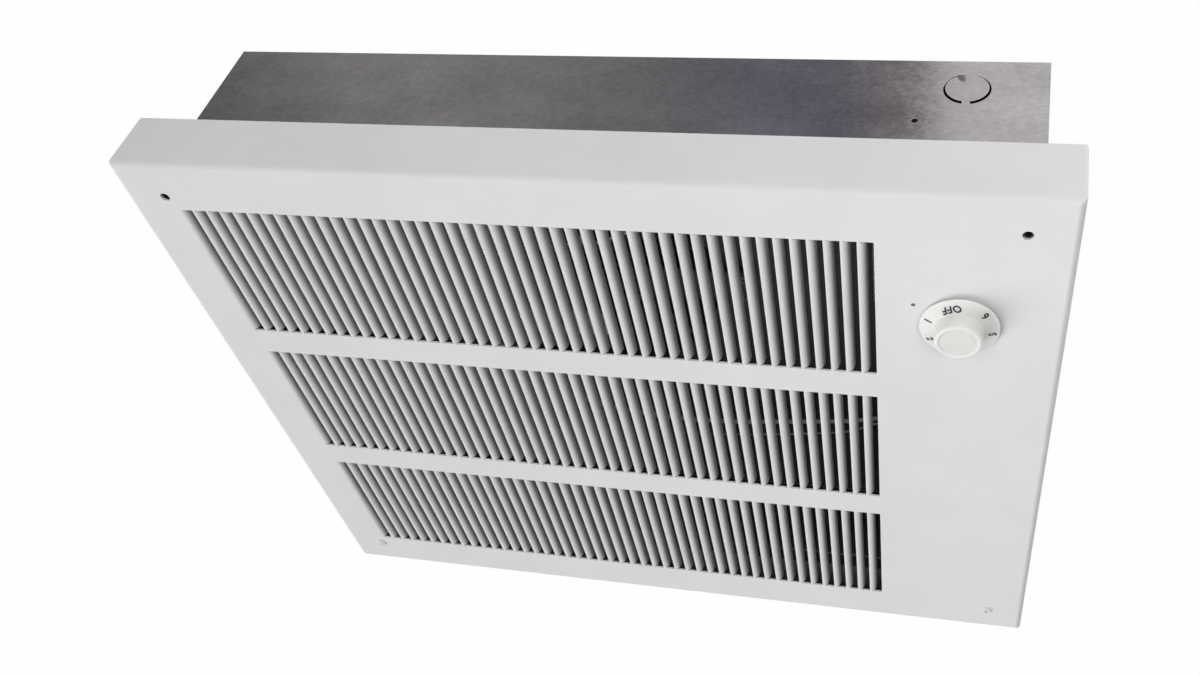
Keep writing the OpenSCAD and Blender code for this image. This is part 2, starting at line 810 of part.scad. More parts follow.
module fan_deck() {
    x0 = -box_in_x + loose;
    x1 = divider_x - loose;
    color("lightgray")
        difference() {
            union() {
                block([x0, deck_front, shelf_z - inner_t], [x1, deck_back, deck_top]);
                block([x0, inner_front, shelf_z - inner_t], [x1, deck_back, shelf_z]);
                block([x0, deck_front - inner_flange, shelf_z], [x0 + inner_t, deck_back, deck_top]);
                block([x1 - inner_t, deck_front - inner_flange, shelf_z], [x1, deck_back, deck_top]);
                rod_y(fan_x, fan_z, orifice_d + 2 * inner_t, deck_front, deck_back + collar_l);
            }
            rod_y(fan_x, fan_z, orifice_d, deck_front - cut, deck_back + collar_l + cut);
            for (x = [-1, 1])
                for (z = [-1, 1])
                    rod_y(fan_x + x * strap_screw_x, fan_z + z * strap_screw_z, motor_screw_d + 0.5,
                        deck_front - cut, deck_back + cut);
            each_deck_screw()
                cylinder(d = small_hole_d, h = 8 * cut, center = true);
        }
}

// Places a piece at each screw of the deck's side flanges, with +Z pointing outwards
module each_deck_screw() {
    for (z = [shelf_z + deck_screw_in, box_in_z - deck_screw_in]) {
        translate([-box_in_x + loose + inner_t, deck_front - inner_flange / 2, z])
            rotate([0, -90, 0])
                children();
        translate([divider_x - loose - inner_t, deck_front - inner_flange / 2, z])
            rotate([0, 90, 0])
                children();
    }
}

module deck_screws() {
    color("gray")
        each_deck_screw()
            pan_screw(small_screw_d, inner_t + loose / 2, small_head_d, small_head_h);
}

module motor_strap() {
    color("silver")
        difference() {
            translate([fan_x, 0, fan_z])
                plate_y(strap_front, strap_back)
                    round_rect(2 * strap_screw_x + mount_d + 4, strap_h, 5);
            for (x = [-1, 1]) {
                for (z = [-1, 1])
                    rod_y(fan_x + x * strap_screw_x, fan_z + z * strap_screw_z, motor_screw_d + 0.4,
                        strap_front - cut, strap_back + cut);
                rod_y(fan_x + x * motor_screw_x, fan_z, motor_screw_d + 0.2, strap_front - cut,
                    strap_back + cut);
            }
            rod_y(fan_x, fan_z, bearing_d, strap_front - cut, strap_back + cut);
        }
}

module motor_mounts() {
    color("dimgray")
        for (x = [-1, 1])
            for (z = [-1, 1])
                translate([fan_x + x * strap_screw_x, 0, fan_z + z * strap_screw_z])
                    difference() {
                        rod_y(0, 0, mount_d, strap_back, deck_front);
                        rod_y(0, 0, motor_screw_d + 0.2, strap_back - cut, deck_front + cut);
                    }
}

module strap_screws() {
    color("gray")
        for (x = [-1, 1])
            for (z = [-1, 1])
                translate([fan_x + x * strap_screw_x, strap_front, fan_z + z * strap_screw_z])
                    rotate([-90, 0, 0])
                        pan_screw(motor_screw_d, deck_back - strap_front + nut_h + 1, nut_d, motor_head_h);
}

module motor_stack() {
    color("dimgray")
        translate([fan_x, 0, fan_z])
            difference() {
                plate_y(stack_front, stack_back)
                    difference() {
                        union() {
                            round_rect(stack_w, stack_w, 6);
                            translate([leg_x - leg_w, -leg_h / 2])
                                square([leg_w + leg_window + cut, leg_h]);
                        }
                        translate([leg_x, -leg_h / 2 + leg_w])
                            square([leg_window, leg_h - 2 * leg_w]);
                    }
                rod_y(0, 0, stator_bore_d, stack_front - cut, stack_back + cut);
                for (x = [-1, 1])
                    rod_y(x * motor_screw_x, 0, motor_screw_d + 0.2, stack_front - cut, stack_back + cut);
            }
}

module motor_coil() {
    coil_w = leg_w + 2 * coil_build;
    coil_l = leg_h - 2 * leg_w - 1;
    color("peru")
        translate([fan_x + leg_x - leg_w / 2, (stack_front + stack_back) / 2, fan_z - coil_l / 2])
            difference() {
                linear_extrude(coil_l)
                    round_rect(coil_w, stack_t + 2 * coil_build, 4);
                translate([0, 0, -cut])
                    linear_extrude(coil_l + 2 * cut)
                        square([leg_w, stack_t], center = true);
            }
}

// End bracket of the motor: a plate on two legs with a bearing boss, towards the stack at +Z
module motor_end() {
    difference() {
        union() {
            linear_extrude(end_plate_t)
                round_rect(2 * (motor_screw_x + end_ear), boss_d + 3, 6);
            cylinder(d = boss_d, h = bearing_l);
            for (x = [-1, 1])
                translate([x * motor_screw_x, 0, 0])
                    cylinder(d = end_leg_d, h = motor_end_l);
        }
        translate([0, 0, -cut])
            cylinder(d = bearing_d, h = motor_end_l + 2 * cut);
        for (x = [-1, 1])
            translate([x * motor_screw_x, 0, -cut])
                cylinder(d = motor_screw_d + 0.2, h = motor_end_l + 2 * cut);
    }
}

module motor_end_front() {
    color("gainsboro")
        translate([fan_x, motor_front, fan_z])
            rotate([-90, 0, 0])
                motor_end();
}

module motor_end_rear() {
    color("gainsboro")
        translate([fan_x, strap_front, fan_z])
            rotate([90, 0, 0])
                motor_end();
}

module motor_bearings() {
    color("peru")
        for (y = [motor_front, strap_front - bearing_l])
            difference() {
                rod_y(fan_x, fan_z, bearing_d, y, y + bearing_l);
                rod_y(fan_x, fan_z, bearing_bore_d, y - cut, y + bearing_l + cut);
            }
}

module motor_screws() {
    color("gray")
        for (x = [-1, 1])
            translate([fan_x + x * motor_screw_x, motor_front, fan_z])
                rotate([-90, 0, 0])
                    pan_screw(motor_screw_d, strap_back - motor_front + nut_h + 0.4, nut_d, motor_head_h);
}

module motor_nuts() {
    color("silver") {
        for (x = [-1, 1])
            translate([fan_x + x * motor_screw_x, strap_back, fan_z])
                rotate([-90, 0, 0])
                    hex_nut(nut_d, nut_h, motor_screw_d);
        for (x = [-1, 1])
            for (z = [-1, 1])
                translate([fan_x + x * strap_screw_x, deck_back, fan_z + z * strap_screw_z])
                    rotate([-90, 0, 0])
                        hex_nut(nut_d, nut_h, motor_screw_d);
    }
}

module motor_rotor() {
    color("silver")
        difference() {
            rod_y(fan_x, fan_z, rotor_d, stack_front, stack_back);
            rod_y(fan_x, fan_z, motor_shaft_d, stack_front - cut, stack_back + cut);
        }
}

module motor_shaft() {
    color("lightsteelblue")
        rod_y(fan_x, fan_z, motor_shaft_d, motor_front - shaft_stub, blade_y + hub_l / 2 + shaft_stub);
}

module fan_hub() {
    color("silver")
        difference() {
            union() {
                rod_y(fan_x, fan_z, hub_d * 0.6, blade_y - hub_l / 2, blade_y + hub_l / 2);
                rod_y(fan_x, fan_z, hub_d, blade_y - hub_l * 0.3, blade_y + hub_l * 0.3);
            }
            rod_y(fan_x, fan_z, motor_shaft_d, blade_y - hub_l, blade_y + hub_l);
        }
}

module fan_blades() {
    color("lightsteelblue")
        difference() {
            intersection() {
                rod_y(fan_x, fan_z, fan_d, blade_y - blade_chord, blade_y + blade_chord);
                union() {
                    for (i = [0:fan_blades_n - 1])
                        translate([fan_x, blade_y, fan_z])
                            rotate([0, i * 360 / fan_blades_n, 0])
                                rotate([0, 0, blade_pitch])
                                    plate_y(-blade_t / 2, blade_t / 2)
                                        blade_outline();
                    rod_y(fan_x, fan_z, hub_d + 8, blade_y - 1, blade_y + 1);
                }
            }
            rod_y(fan_x, fan_z, hub_d, blade_y - blade_chord, blade_y + blade_chord);
        }
}

// Outline of one blade, rooted in the hub and widening outwards
module blade_outline() {
    polygon([[-hub_d * 0.4, hub_d * 0.3], [hub_d * 0.4, hub_d * 0.3],
        [blade_chord / 2, fan_d * 0.3], [blade_chord / 2, fan_d / 2],
        [-blade_chord / 2, fan_d / 2], [-blade_chord / 2, fan_d * 0.34]]);
}

// Finned run of the element along +X from x0 to x1, plain where a bracket holds it
module finned_run(x0, x1) {
    starts = [for (x = [fins_x0:fin_pitch:fins_x1]) if (abs(x - bracket_left_x) > 4
        && abs(x - bracket_right_x) > 4) x];
    r = element_d / 2;
    rotate([90, 0, 90])
        rotate_extrude()
            polygon(concat([[0, x0], [r, x0]],
                [for (x = starts) each [[r, x], [fin_d / 2, x], [fin_d / 2, x + fin_t], [r, x + fin_t]]],
                [[r, x1], [0, x1]]));
}

module heating_element() {
    color("gray") {
        for (z = [element_low, element_top])
            translate([0, element_y, z])
                finned_run(bend_x - 0.01, pin_x1);
        translate([bend_x, element_y, chamber_z])
            rotate([90, -90, 0])
                rotate_extrude(angle = 180)
                    translate([element_pitch / 2, 0])
                        circle(d = element_d);
    }
}

module element_bushings() {
    color("linen")
        for (z = [element_low, element_top])
            difference() {
                union() {
                    rod_x(element_y, z, bushing_d, control_x, control_x + bushing_l / 2);
                    rod_x(element_y, z, bushing_d - bushing_step, divider_x, control_x);
                }
                rod_x(element_y, z, element_d, divider_x - cut, control_x + bushing_l + cut);
            }
}

module element_terminals() {
    color("goldenrod")
        for (z = [element_low, element_top]) {
            rod_x(element_y, z, stud_d, pin_x1, stud_x);
            rod_x(element_y, z, stud_nut_d, pin_x1 + 0.5, pin_x1 + 3);
        }
}

// Sheet bracket that carries both runs of the element at x
module element_bracket(x) {
    difference() {
        union() {
            block([x, bracket_front_y, chamber_z - bracket_z],
                [x + inner_t, box_in_y, chamber_z + bracket_z]);
            block([x, box_in_y - inner_t, chamber_z - bracket_z],
                [x + inner_flange, box_in_y, chamber_z + bracket_z]);
        }
        for (z = [element_low, element_top])
            rod_x(element_y, z, element_d, x - cut, x + inner_t + cut);
    }
}

module element_bracket_left() {
    color("lightgray")
        element_bracket(bracket_left_x);
}

module element_bracket_right() {
    color("lightgray")
        element_bracket(bracket_right_x);
}

module limit_switch() {
    color("saddlebrown")
        difference() {
            union() {
                rod_x(limit_y, limit_z, limit_d, control_x, control_x + limit_l);
                rod_x(limit_y, limit_z, limit_d - 2.4, divider_x - 3, control_x);
                for (y = [-1, 1])
                    block([limit_tag_x - tag_t / 2, limit_y + y * 5 - tag_w / 2, limit_z + limit_d / 2 - 3],
                        [limit_tag_x + tag_t / 2, limit_y + y * 5 + tag_w / 2, limit_tag_z]);
            }
            rod_x(limit_y, limit_z, button_d + 2 * run_gap, control_x + 1, control_x + limit_l + cut);
        }
}

module limit_reset_button() {
    color("firebrick")
        rod_x(limit_y, limit_z, button_d, control_x + 1 + button_travel + loose,
            control_x + limit_l + button_travel + 2);
}

module fan_delay_relay() {
    color("ivory") {
        block([control_x, relay_y - relay_l / 2, relay_z - relay_h / 2],
            [control_x + relay_w, relay_y + relay_l / 2, relay_z + relay_h / 2]);
        for (y = [-5, 5])
            block([relay_tag_x - tag_t / 2, relay_y + y - tag_w / 2, relay_tag_z],
                [relay_tag_x + tag_t / 2, relay_y + y + tag_w / 2, relay_z]);
    }
}

module control_bracket() {
    color("silver")
        difference() {
            union() {
                block([control_x, bracket_y, bracket_low], [bracket_x1, bracket_back_y, bracket_top]);
                block([control_x, bracket_y, bracket_low],
                    [control_x + inner_t, bracket_side_y, bracket_top]);
            }
            rod_y(stat_x, stat_z, bush_d, bracket_y - cut, bracket_back_y + cut);
            translate([stat_x, 0, switch_z])
                plate_y(bracket_y - cut, bracket_back_y + cut)
                    square([2 * (bezel_w + loose), 2 * (bezel_h + loose)], center = true);
            for (z = BRACKET_SCREWS)
                rod_x(bracket_screw_y, z, small_hole_d, control_x - cut, control_x + inner_t + cut);
            for (z = [-1, 1])
                rod_y(stat_x, switch_z + z * switch_screw_z, small_hole_d, bracket_y - cut,
                    bracket_back_y + cut);
        }
}

module thermostat_body() {
    color("burlywood")
        difference() {
            union() {
                translate([stat_x, 0, stat_z])
                    plate_y(bracket_back_y, bracket_back_y + stat_d)
                        round_rect(stat_w, stat_h, 3);
                rod_y(stat_x, stat_z, bush_d, bracket_back_y - bush_l, bracket_back_y);
                for (x = [-tag_pitch / 2, tag_pitch / 2])
                    block([stat_x + x - tag_w / 2, bracket_back_y + stat_d, stat_tag_z - tag_t / 2],
                        [stat_x + x + tag_w / 2, stat_tag_y, stat_tag_z + tag_t / 2]);
            }
            rod_y(stat_x, stat_z, shaft_d + 2 * run_gap, bracket_y - bush_l - cut, shaft_end + loose);
        }
}

module thermostat_nut() {
    color("silver")
        translate([stat_x, bracket_y - bush_nut_h, stat_z])
            rotate([-90, 0, 0])
                hex_nut(bush_nut_d, bush_nut_h, bush_d);
}

module thermostat_shaft() {
    color("gainsboro")
        rod_y(stat_x, stat_z, shaft_d, shaft_tip, shaft_end);
}

module thermostat_knob() {
    rim = knob_wall;
    inner_r = grip_d / 2 - knob_wall;
    dish_r = grip_d / 2 - knob_rim_w - knob_dish / 2;
    under = knob_h - knob_dish - knob_wall;
    color("white")
        translate([stat_x, knob_back, stat_z])
            rotate([90, 0, 0]) {
                rotate_extrude()
                    polygon([[inner_r, dial_edge], [dial_d / 2 - rim, 0], [dial_d / 2, 0],
                        [dial_d / 2, dial_edge - 0.6], [dial_d / 2 - 0.6, dial_edge],
                        [grip_r0, dial_edge + dial_rise], [grip_d / 2 + 0.1, knob_h - 1],
                        [grip_d / 2 - 0.3, knob_h - 0.3], [grip_d / 2 - 1, knob_h],
                        [grip_d / 2 - knob_rim_w, knob_h], [dish_r, knob_h - knob_dish],
                        [0, knob_h - knob_dish], [0, under], [inner_r, under]]);
                difference() {
                    cylinder(d = knob_boss_d, h = knob_h - knob_wall);
                    translate([0, 0, -cut])
                        cylinder(d = shaft_d, h = knob_back - shaft_tip + cut);
                }
            }
}

module thermostat_bulb() {
    color("silver")
        translate([bulb_x, bulb_y, bulb_top - bulb_l])
            cylinder(d = bulb_d, h = bulb_l);
}

module thermostat_capillary() {
    color("chocolate")
        tube(CAPILLARY, capillary_d);
}

module disconnect_body() {
    color("darkslategray")
        difference() {
            union() {
                block([stat_x - switch_w / 2, bracket_back_y, switch_z - switch_h / 2],
                    [stat_x + switch_w / 2, bracket_back_y + switch_d, switch_z + switch_h / 2]);
                block([stat_x - bezel_w, rocker_y, switch_z - bezel_h],
                    [stat_x + bezel_w, bracket_back_y, switch_z + bezel_h]);
                for (z = [-tag_pitch / 2, tag_pitch / 2])
                    block([stat_x - tag_w / 2, bracket_back_y + switch_d, switch_z + z - tag_t / 2],
                        [stat_x + tag_w / 2, switch_tag_y, switch_z + z + tag_t / 2]);
            }
            rod_x(rocker_y, switch_z, rocker_d + 2 * loose, stat_x - rocker_w / 2 - loose,
                stat_x + rocker_w / 2 + loose);
            rod_x(rocker_y, switch_z, pin_d + 2 * run_gap, stat_x - rocker_w / 2 - 2.5,
                stat_x + rocker_w / 2 + 2.5);
            for (z = [-1, 1])
                rod_y(stat_x, switch_z + z * switch_screw_z, small_screw_d, bracket_back_y - cut,
                    bracket_back_y + switch_screw_l + cut);
        }
}

// Rocker, resting at on, with its lower half standing out
module disconnect_rocker() {
    reach = rocker_d / 2;
    color("black")
        translate([0, rocker_y, switch_z]) {
            rod_x(0, 0, pin_d, stat_x - rocker_w / 2 - 2.2, stat_x + rocker_w / 2 + 2.2);
            plate_x(stat_x - rocker_w / 2, stat_x + rocker_w / 2)
                rotate(rocker_travel / 2)
                    difference() {
                        circle(d = rocker_d);
                        for (s = [0, 1])
                            mirror([0, s])
                                rotate(rocker_travel / 2)
                                    translate([-reach - cut, 0])
                                        square([reach - 2 + cut, reach + cut]);
                    }
        }
}

module terminal_block() {
    color("ivory")
        difference() {
            block([block_x - block_w / 2, block_y, block_z - block_h / 2],
                [block_x + block_w / 2, box_in_y, block_z + block_h / 2]);
            for (k = [-1:1])
                for (x = [-1, 1])
                    rod_y(block_x + x * block_screw_x, block_z + k * block_pole, block_hole_d,
                        block_y - cut, block_y + block_well);
        }
}

module terminal_screws() {
    color("goldenrod")
        for (k = [-1:1])
            for (x = [-1, 1])
                rod_y(block_x + x * block_screw_x, block_z + k * block_pole, block_screw_d,
                    block_y + block_well - block_floor, block_y + block_well);
}

module ground_screw() {
    color("seagreen")
        translate([block_x, box_in_y, ground_z])
            rotate([-90, 0, 0])
                hex_head(8, 3);
}

// Hexagon head with a washer face, standing from 0 towards -Z
module hex_head(across, height) {
    translate([0, 0, -height])
        cylinder(d = across / cos(30), h = height - 1, $fn = 6);
    translate([0, 0, -1])
        cylinder(d = across * 1.3, h = 1);
}

module control_screws() {
    color("gray") {
        for (z = BRACKET_SCREWS)
            translate([control_x + inner_t, bracket_screw_y, z])
                rotate([0, -90, 0])
                    pan_screw(small_screw_d, inner_t, small_head_d, small_head_h);
        for (z = [-1, 1])
            translate([stat_x, bracket_y, switch_z + z * switch_screw_z])
                rotate([-90, 0, 0])
                    pan_screw(small_screw_d, inner_t + switch_screw_l, small_head_d - 1, small_head_h);
    }
}

module lead_grommet() {
    color("black")
        difference() {
            union() {
                rod_x(grommet_y, grommet_z, grommet_d, divider_x - grommet_lip, divider_x);
                rod_x(grommet_y, grommet_z, grommet_d - grommet_step, divider_x, control_x);
                rod_x(grommet_y, grommet_z, grommet_d, control_x, control_x + grommet_lip);
            }
            rod_x(grommet_y, grommet_z, grommet_bore_d, divider_x - 2 * grommet_lip,
                control_x + 2 * grommet_lip);
        }
}

module leads_black() {
    color("black") {
        tube(LEAD_LINE, lead_d);
        tube(LEAD_STAT, lead_d);
        tube(LEAD_MOTOR_A, lead_d);
    }
}

module leads_red() {
    color("firebrick") {
        tube(LEAD_LIMIT, lead_d);
        tube(LEAD_ELEMENT, lead_d);
    }
}

module leads_white() {
    color("white") {
        tube(LEAD_NEUTRAL, lead_d);
        tube(LEAD_MOTOR_B, lead_d);
    }
}

wall_box();
box_end_left();
box_end_right();
cover_posts();
front_cover();
cover_screws();
control_divider();
fan_deck();
deck_screws();
motor_strap();
motor_mounts();
strap_screws();
motor_stack();
motor_coil();
motor_end_front();
motor_end_rear();
motor_bearings();
motor_screws();
motor_nuts();
motor_rotor();
motor_shaft();
fan_hub();
fan_blades();
heating_element();
element_bushings();
element_terminals();
element_bracket_left();
element_bracket_right();
limit_switch();
limit_reset_button();
fan_delay_relay();
control_bracket();
thermostat_body();
thermostat_nut();
thermostat_shaft();
thermostat_knob();
thermostat_bulb();
thermostat_capillary();
disconnect_body();
disconnect_rocker();
terminal_block();
terminal_screws();
ground_screw();
control_screws();
lead_grommet();
leads_black();
leads_red();
leads_white();
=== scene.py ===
"""Recessed electric fan heater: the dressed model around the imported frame.

Meshes are drawn in millimetres in the frame's own axes (X to the right, Y into the wall, Z up,
origin in the wall's plane behind the middle of the cover) and become metres at the end.
"""

import json
import logging
import math
from dataclasses import dataclass, field
from enum import Enum
from typing import Any, Callable, Iterable, Sequence

import bmesh
import bpy
from mathutils import Matrix, Vector


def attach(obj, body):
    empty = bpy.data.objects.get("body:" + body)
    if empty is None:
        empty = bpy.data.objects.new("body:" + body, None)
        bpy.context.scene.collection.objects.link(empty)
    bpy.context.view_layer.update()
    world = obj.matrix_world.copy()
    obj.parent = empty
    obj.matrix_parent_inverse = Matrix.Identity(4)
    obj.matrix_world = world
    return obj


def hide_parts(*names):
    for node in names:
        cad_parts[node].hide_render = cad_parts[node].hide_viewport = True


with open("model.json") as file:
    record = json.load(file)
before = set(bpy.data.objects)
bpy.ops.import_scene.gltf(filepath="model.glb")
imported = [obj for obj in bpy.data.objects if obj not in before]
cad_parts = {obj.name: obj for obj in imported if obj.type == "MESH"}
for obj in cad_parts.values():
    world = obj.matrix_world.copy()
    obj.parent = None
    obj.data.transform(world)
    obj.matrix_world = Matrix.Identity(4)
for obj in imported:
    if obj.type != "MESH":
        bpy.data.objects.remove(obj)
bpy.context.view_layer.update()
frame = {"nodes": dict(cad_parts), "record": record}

LOG = logging.getLogger("heater")
MM = 0.001  # a millimetre in metres
BODY = "heater"  # the body that most pieces ride on
SHARP = 32.0  # degrees between two faces past which their edge is drawn sharp
MERGE = 1e-4  # millimetres within which two vertices are one
ALIKE = (1.0, 1.0, 1.0)  # the same along X, Y and Z

Point = tuple[float, float]
Spot = tuple[float, float, float]
Place = Callable[[float, float, float], Sequence[float]]
Tones = Sequence[tuple[float, str]]
Tree = bpy.types.NodeTree
Socket = bpy.types.NodeSocket
Object = bpy.types.Object


# ---- Nodes and colours ----


def linear(code: str) -> tuple[float, float, float, float]:
    """Turns an sRGB hex colour into linear RGBA.

    Args:
        code: The colour, such as "#e4e3e1".

    Returns:
        Linear red, green and blue, and an alpha of 1.
    """
    parts = [int(code[i : i + 2], 16) / 255 for i in (1, 3, 5)]
    red, green, blue = (c / 12.92 if c <= 0.04045 else ((c + 0.055) / 1.055) ** 2.4 for c in parts)
    return red, green, blue, 1.0


def add(tree: Tree, kind: str, inputs: dict[Any, Any] | None = None, **settings: Any) -> bpy.types.Node:
    """Adds a node with its settings, values and links.

    Args:
        tree: The node tree.
        kind: The node's type name.
        inputs: Values, or output sockets to link, by input name or number.
        settings: The node's own properties.

    Returns:
        The new node.
    """
    node = tree.nodes.new(kind)
    for key, value in settings.items():
        setattr(node, key, value)
    for key, value in (inputs or {}).items():
        if isinstance(value, bpy.types.NodeSocket):
            tree.links.new(value, node.inputs[key])
        else:
            node.inputs[key].default_value = value
    return node


def math_of(tree: Tree, operation: str, *values: Any, clamp: bool = False) -> Socket:
    """Adds a Math node on the values given and returns its output."""
    node = add(tree, "ShaderNodeMath", dict(enumerate(values)), operation=operation, use_clamp=clamp)
    return node.outputs[0]


def vector_of(tree: Tree, operation: str, *values: Any, **inputs: Any) -> Socket:
    """Adds a Vector Math node on the values and named inputs given and returns its output."""
    given = dict(enumerate(values)) | inputs
    return add(tree, "ShaderNodeVectorMath", given, operation=operation).outputs[0]


def axes(tree: Tree, vector: Any) -> Any:
    """Splits a vector and returns its X, Y and Z."""
    return add(tree, "ShaderNodeSeparateXYZ", {0: vector}).outputs


def blend(tree: Tree, share: Any, one: Any, two: Any) -> Socket:
    """Mixes two colours by the second one's share and returns the mix."""
    return add(tree, "ShaderNodeMix", {"Factor": share, 6: one, 7: two}, data_type="RGBA").outputs[2]


def ramp(tree: Tree, value: Any, tones: Tones) -> Socket:
    """Turns a value into a colour.

    Args:
        tree: The node tree.
        value: The value.
        tones: The colours, each with the value that it stands at, in rising order.

    Returns:
        The colour.
    """
    (low, first), *between, (high, last) = tones
    share = add(tree, "ShaderNodeMapRange", {0: value, 1: low, 2: high})
    node = add(tree, "ShaderNodeValToRGB", {0: share.outputs[0]})
    stops = node.color_ramp.elements
    stops[0].color, stops[1].color = linear(first), linear(last)
    for place, code in between:
        stops.new((place - low) / (high - low)).color = linear(code)
    return node.outputs[0]


def emptied(owner: Any) -> Tree:
    """Returns the node tree of a new material or world, without its nodes."""
    owner.use_nodes = True
    owner.node_tree.nodes.clear()
    return owner.node_tree


# ---- Finishes ----


class Pattern(Enum):
    """The kinds of pattern that a grain can have."""

    NOISE = "noise"
    CELLS = "cells"
    BANDS = "bands"


@dataclass(frozen=True)
class Grain:
    """One pattern in a surface, with what it changes there.

    size is the width of one spot in millimetres, and stretch lengthens it along X, Y and Z.
    tone is the share of the second colour that it moves, rough the roughness, height the
    relief in millimetres, and tilt the lean of one crystal's face.
    """

    size: float
    tone: float = 0.0
    rough: float = 0.0
    height: float = 0.0
    tilt: float = 0.0
    stretch: Spot = ALIKE
    detail: float = 2.0
    pattern: Pattern = Pattern.NOISE

    def sockets(self, tree: Tree, where: Socket) -> tuple[Any, Any]:
        """Adds the pattern's nodes.

        Args:
            tree: The material's node tree.
            where: The coordinates, in metres.

        Returns:
            Its value from 0 to 1, and its colour.
        """
        scale = [1 / (MM * self.size * s) for s in self.stretch]
        at = add(tree, "ShaderNodeMapping", {"Vector": where, "Scale": scale}).outputs[0]
        if self.pattern is Pattern.CELLS:
            cells = add(tree, "ShaderNodeTexVoronoi", {"Vector": at, "Scale": 1.0})
            split = add(tree, "ShaderNodeSeparateColor", {0: cells.outputs["Color"]})
            return split.outputs[0], cells.outputs["Color"]
        if self.pattern is Pattern.BANDS:
            once = math.tau / 20  # the scale at which a wave texture has one band per unit
            bands = add(tree, "ShaderNodeTexWave", {"Vector": at, "Scale": once, "Distortion": 0.4})
            return bands.outputs["Fac"], bands.outputs["Color"]
        noise = add(tree, "ShaderNodeTexNoise", {"Vector": at, "Scale": 1.0, "Detail": self.detail})
        spread = add(tree, "ShaderNodeMapRange", {0: noise.outputs[0], 1: 0.3, 2: 0.7})
        return spread.outputs[0], noise.outputs["Color"]


@dataclass(frozen=True)
class Finish:
    """What a surface is made of: two colours, its gloss and the grains in it.

    coat is the weight of a clear layer over it, and seep how many millimetres light goes into it.
    """

    name: str
    colour: str
    tone: str
    roughness: float
    grains: tuple[Grain, ...]
    metallic: float = 0.0
    coat: float = 0.0
    coat_roughness: float = 0.1
    seep: float = 0.0

    def material(self) -> bpy.types.Material:
        """Returns the finish's material, made on the first call."""
        known = bpy.data.materials.get(self.name)
        if known:
            return known
        made = bpy.data.materials.new(self.name)
        self.dress(emptied(made))
        return made

    def dress(self, tree: Tree) -> None:
        """Builds the finish's nodes in an empty tree.

        Args:
            tree: The material's node tree.
        """
        where = add(tree, "ShaderNodeTexCoord").outputs["Object"]
        shift: Any = 0.5
        rough: Any = self.roughness
        normal: Any = None
        for grain in self.grains:
            value, colour = grain.sockets(tree, where)
            if grain.tone:
                shift = math_of(tree, "ADD", shift, self.centred(tree, value, grain.tone))
            if grain.rough:
                rough = math_of(tree, "ADD", rough, self.centred(tree, value, grain.rough))
            if grain.height:
                bump = {"Height": value, "Distance": grain.height * MM, "Strength": 1.0}
                if normal:
                    bump["Normal"] = normal
                normal = add(tree, "ShaderNodeBump", bump).outputs[0]
            if grain.tilt:
                normal = self.tilted(tree, colour, normal, grain.tilt)
        share = math_of(tree, "ADD", shift, 0.0, clamp=True)
        shade = blend(tree, share, linear(self.colour), linear(self.tone))
        surface = {
            "Base Color": self.tinted(tree, where, shade),
            "Metallic": self.metallic,
            "Roughness": self.hazed(tree, where, rough),
            "Coat Weight": self.coat,
            "Coat Roughness": self.coat_roughness,
        }
        if self.seep:
            surface |= {"Subsurface Weight": 1.0, "Subsurface Radius": ALIKE}
            surface["Subsurface Scale"] = self.seep * MM
        if normal:
            surface["Normal"] = normal
        shader = add(tree, "ShaderNodeBsdfPrincipled", surface)
        add(tree, "ShaderNodeOutputMaterial", {"Surface": shader.outputs[0]})

    @staticmethod
    def centred(tree: Tree, value: Any, reach: float) -> Any:
        """Moves a value of 0 to 1 to the range from minus reach to reach."""
        return math_of(tree, "MULTIPLY_ADD", value, 2 * reach, -reach)

    @staticmethod
    def tilted(tree: Tree, colour: Any, normal: Any, tilt: float) -> Any:
        """Leans the normal by a random colour, so that each crystal shines its own way.

        Args:
            tree: The material's node tree.
            colour: The random colour.
            normal: The normal so far, or None.
            tilt: The most that it leans.

        Returns:
            The leaning normal.
        """
        start = normal or add(tree, "ShaderNodeNewGeometry").outputs["Normal"]
        centre = vector_of(tree, "SUBTRACT", colour, (0.5, 0.5, 0.5))
        lean = vector_of(tree, "SCALE", centre, Scale=2 * tilt)
        return vector_of(tree, "NORMALIZE", vector_of(tree, "ADD", start, lean))

    def tinted(self, tree: Tree, where: Any, colour: Any) -> Any:
        """Returns the colour unchanged: other finishes tint it."""
        return colour

    def hazed(self, tree: Tree, where: Any, rough: Any) -> Any:
        """Returns the roughness unchanged: other finishes raise it in places."""
        return rough


@dataclass(frozen=True)
class Metal(Finish):
    """A bare, plated or lacquered metal."""

    metallic: float = 1.0


@dataclass(frozen=True)
class BoxSheet(Metal):
    """Sheet metal that is bright on the box's outside, with shade painted inside it: darker and rougher
    there.

    The dark colour inside is painted shade, mixed in by its share, and haze is the roughness that is added.
    skin is half the width, the depth and half the height of the box's inner side, in metres.
    """

    # dark colour of the shade painted inside the box, and its share
    shade_colour: str = "#403f3f"
    shade_share: float = 0.85
    haze: float = 0.42
    skin: Spot = (0.2335, 0.0845, 0.1825)

    def within(self, tree: Tree, where: Any) -> Any:
        """Returns 1 inside the box's skin and inside the cover, where shade is painted, and 0 on the box's
        outer side.

        Args:
            tree: The material's node tree.
            where: The coordinates, in metres.

        Returns:
            The mask.
        """
        x, y, z = axes(tree, vector_of(tree, "DIVIDE", vector_of(tree, "ABSOLUTE", where), self.skin))
        farthest = math_of(tree, "MAXIMUM", math_of(tree, "MAXIMUM", x, y), z)
        covered = math_of(tree, "LESS_THAN", axes(tree, where)[1], 0.0)
        return math_of(tree, "MAXIMUM", math_of(tree, "LESS_THAN", farthest, 1.0), covered)

    def tinted(self, tree: Tree, where: Any, colour: Any) -> Any:
        """Paints shade inside the box: darkens the bright sheet's colour there."""
        shade_colour = blend(tree, self.shade_share, colour, linear(self.shade_colour))
        return blend(tree, self.within(tree, where), colour, shade_colour)

    def hazed(self, tree: Tree, where: Any, rough: Any) -> Any:
        """Raises the roughness inside the box."""
        return math_of(tree, "MULTIPLY_ADD", self.within(tree, where), self.haze, rough)


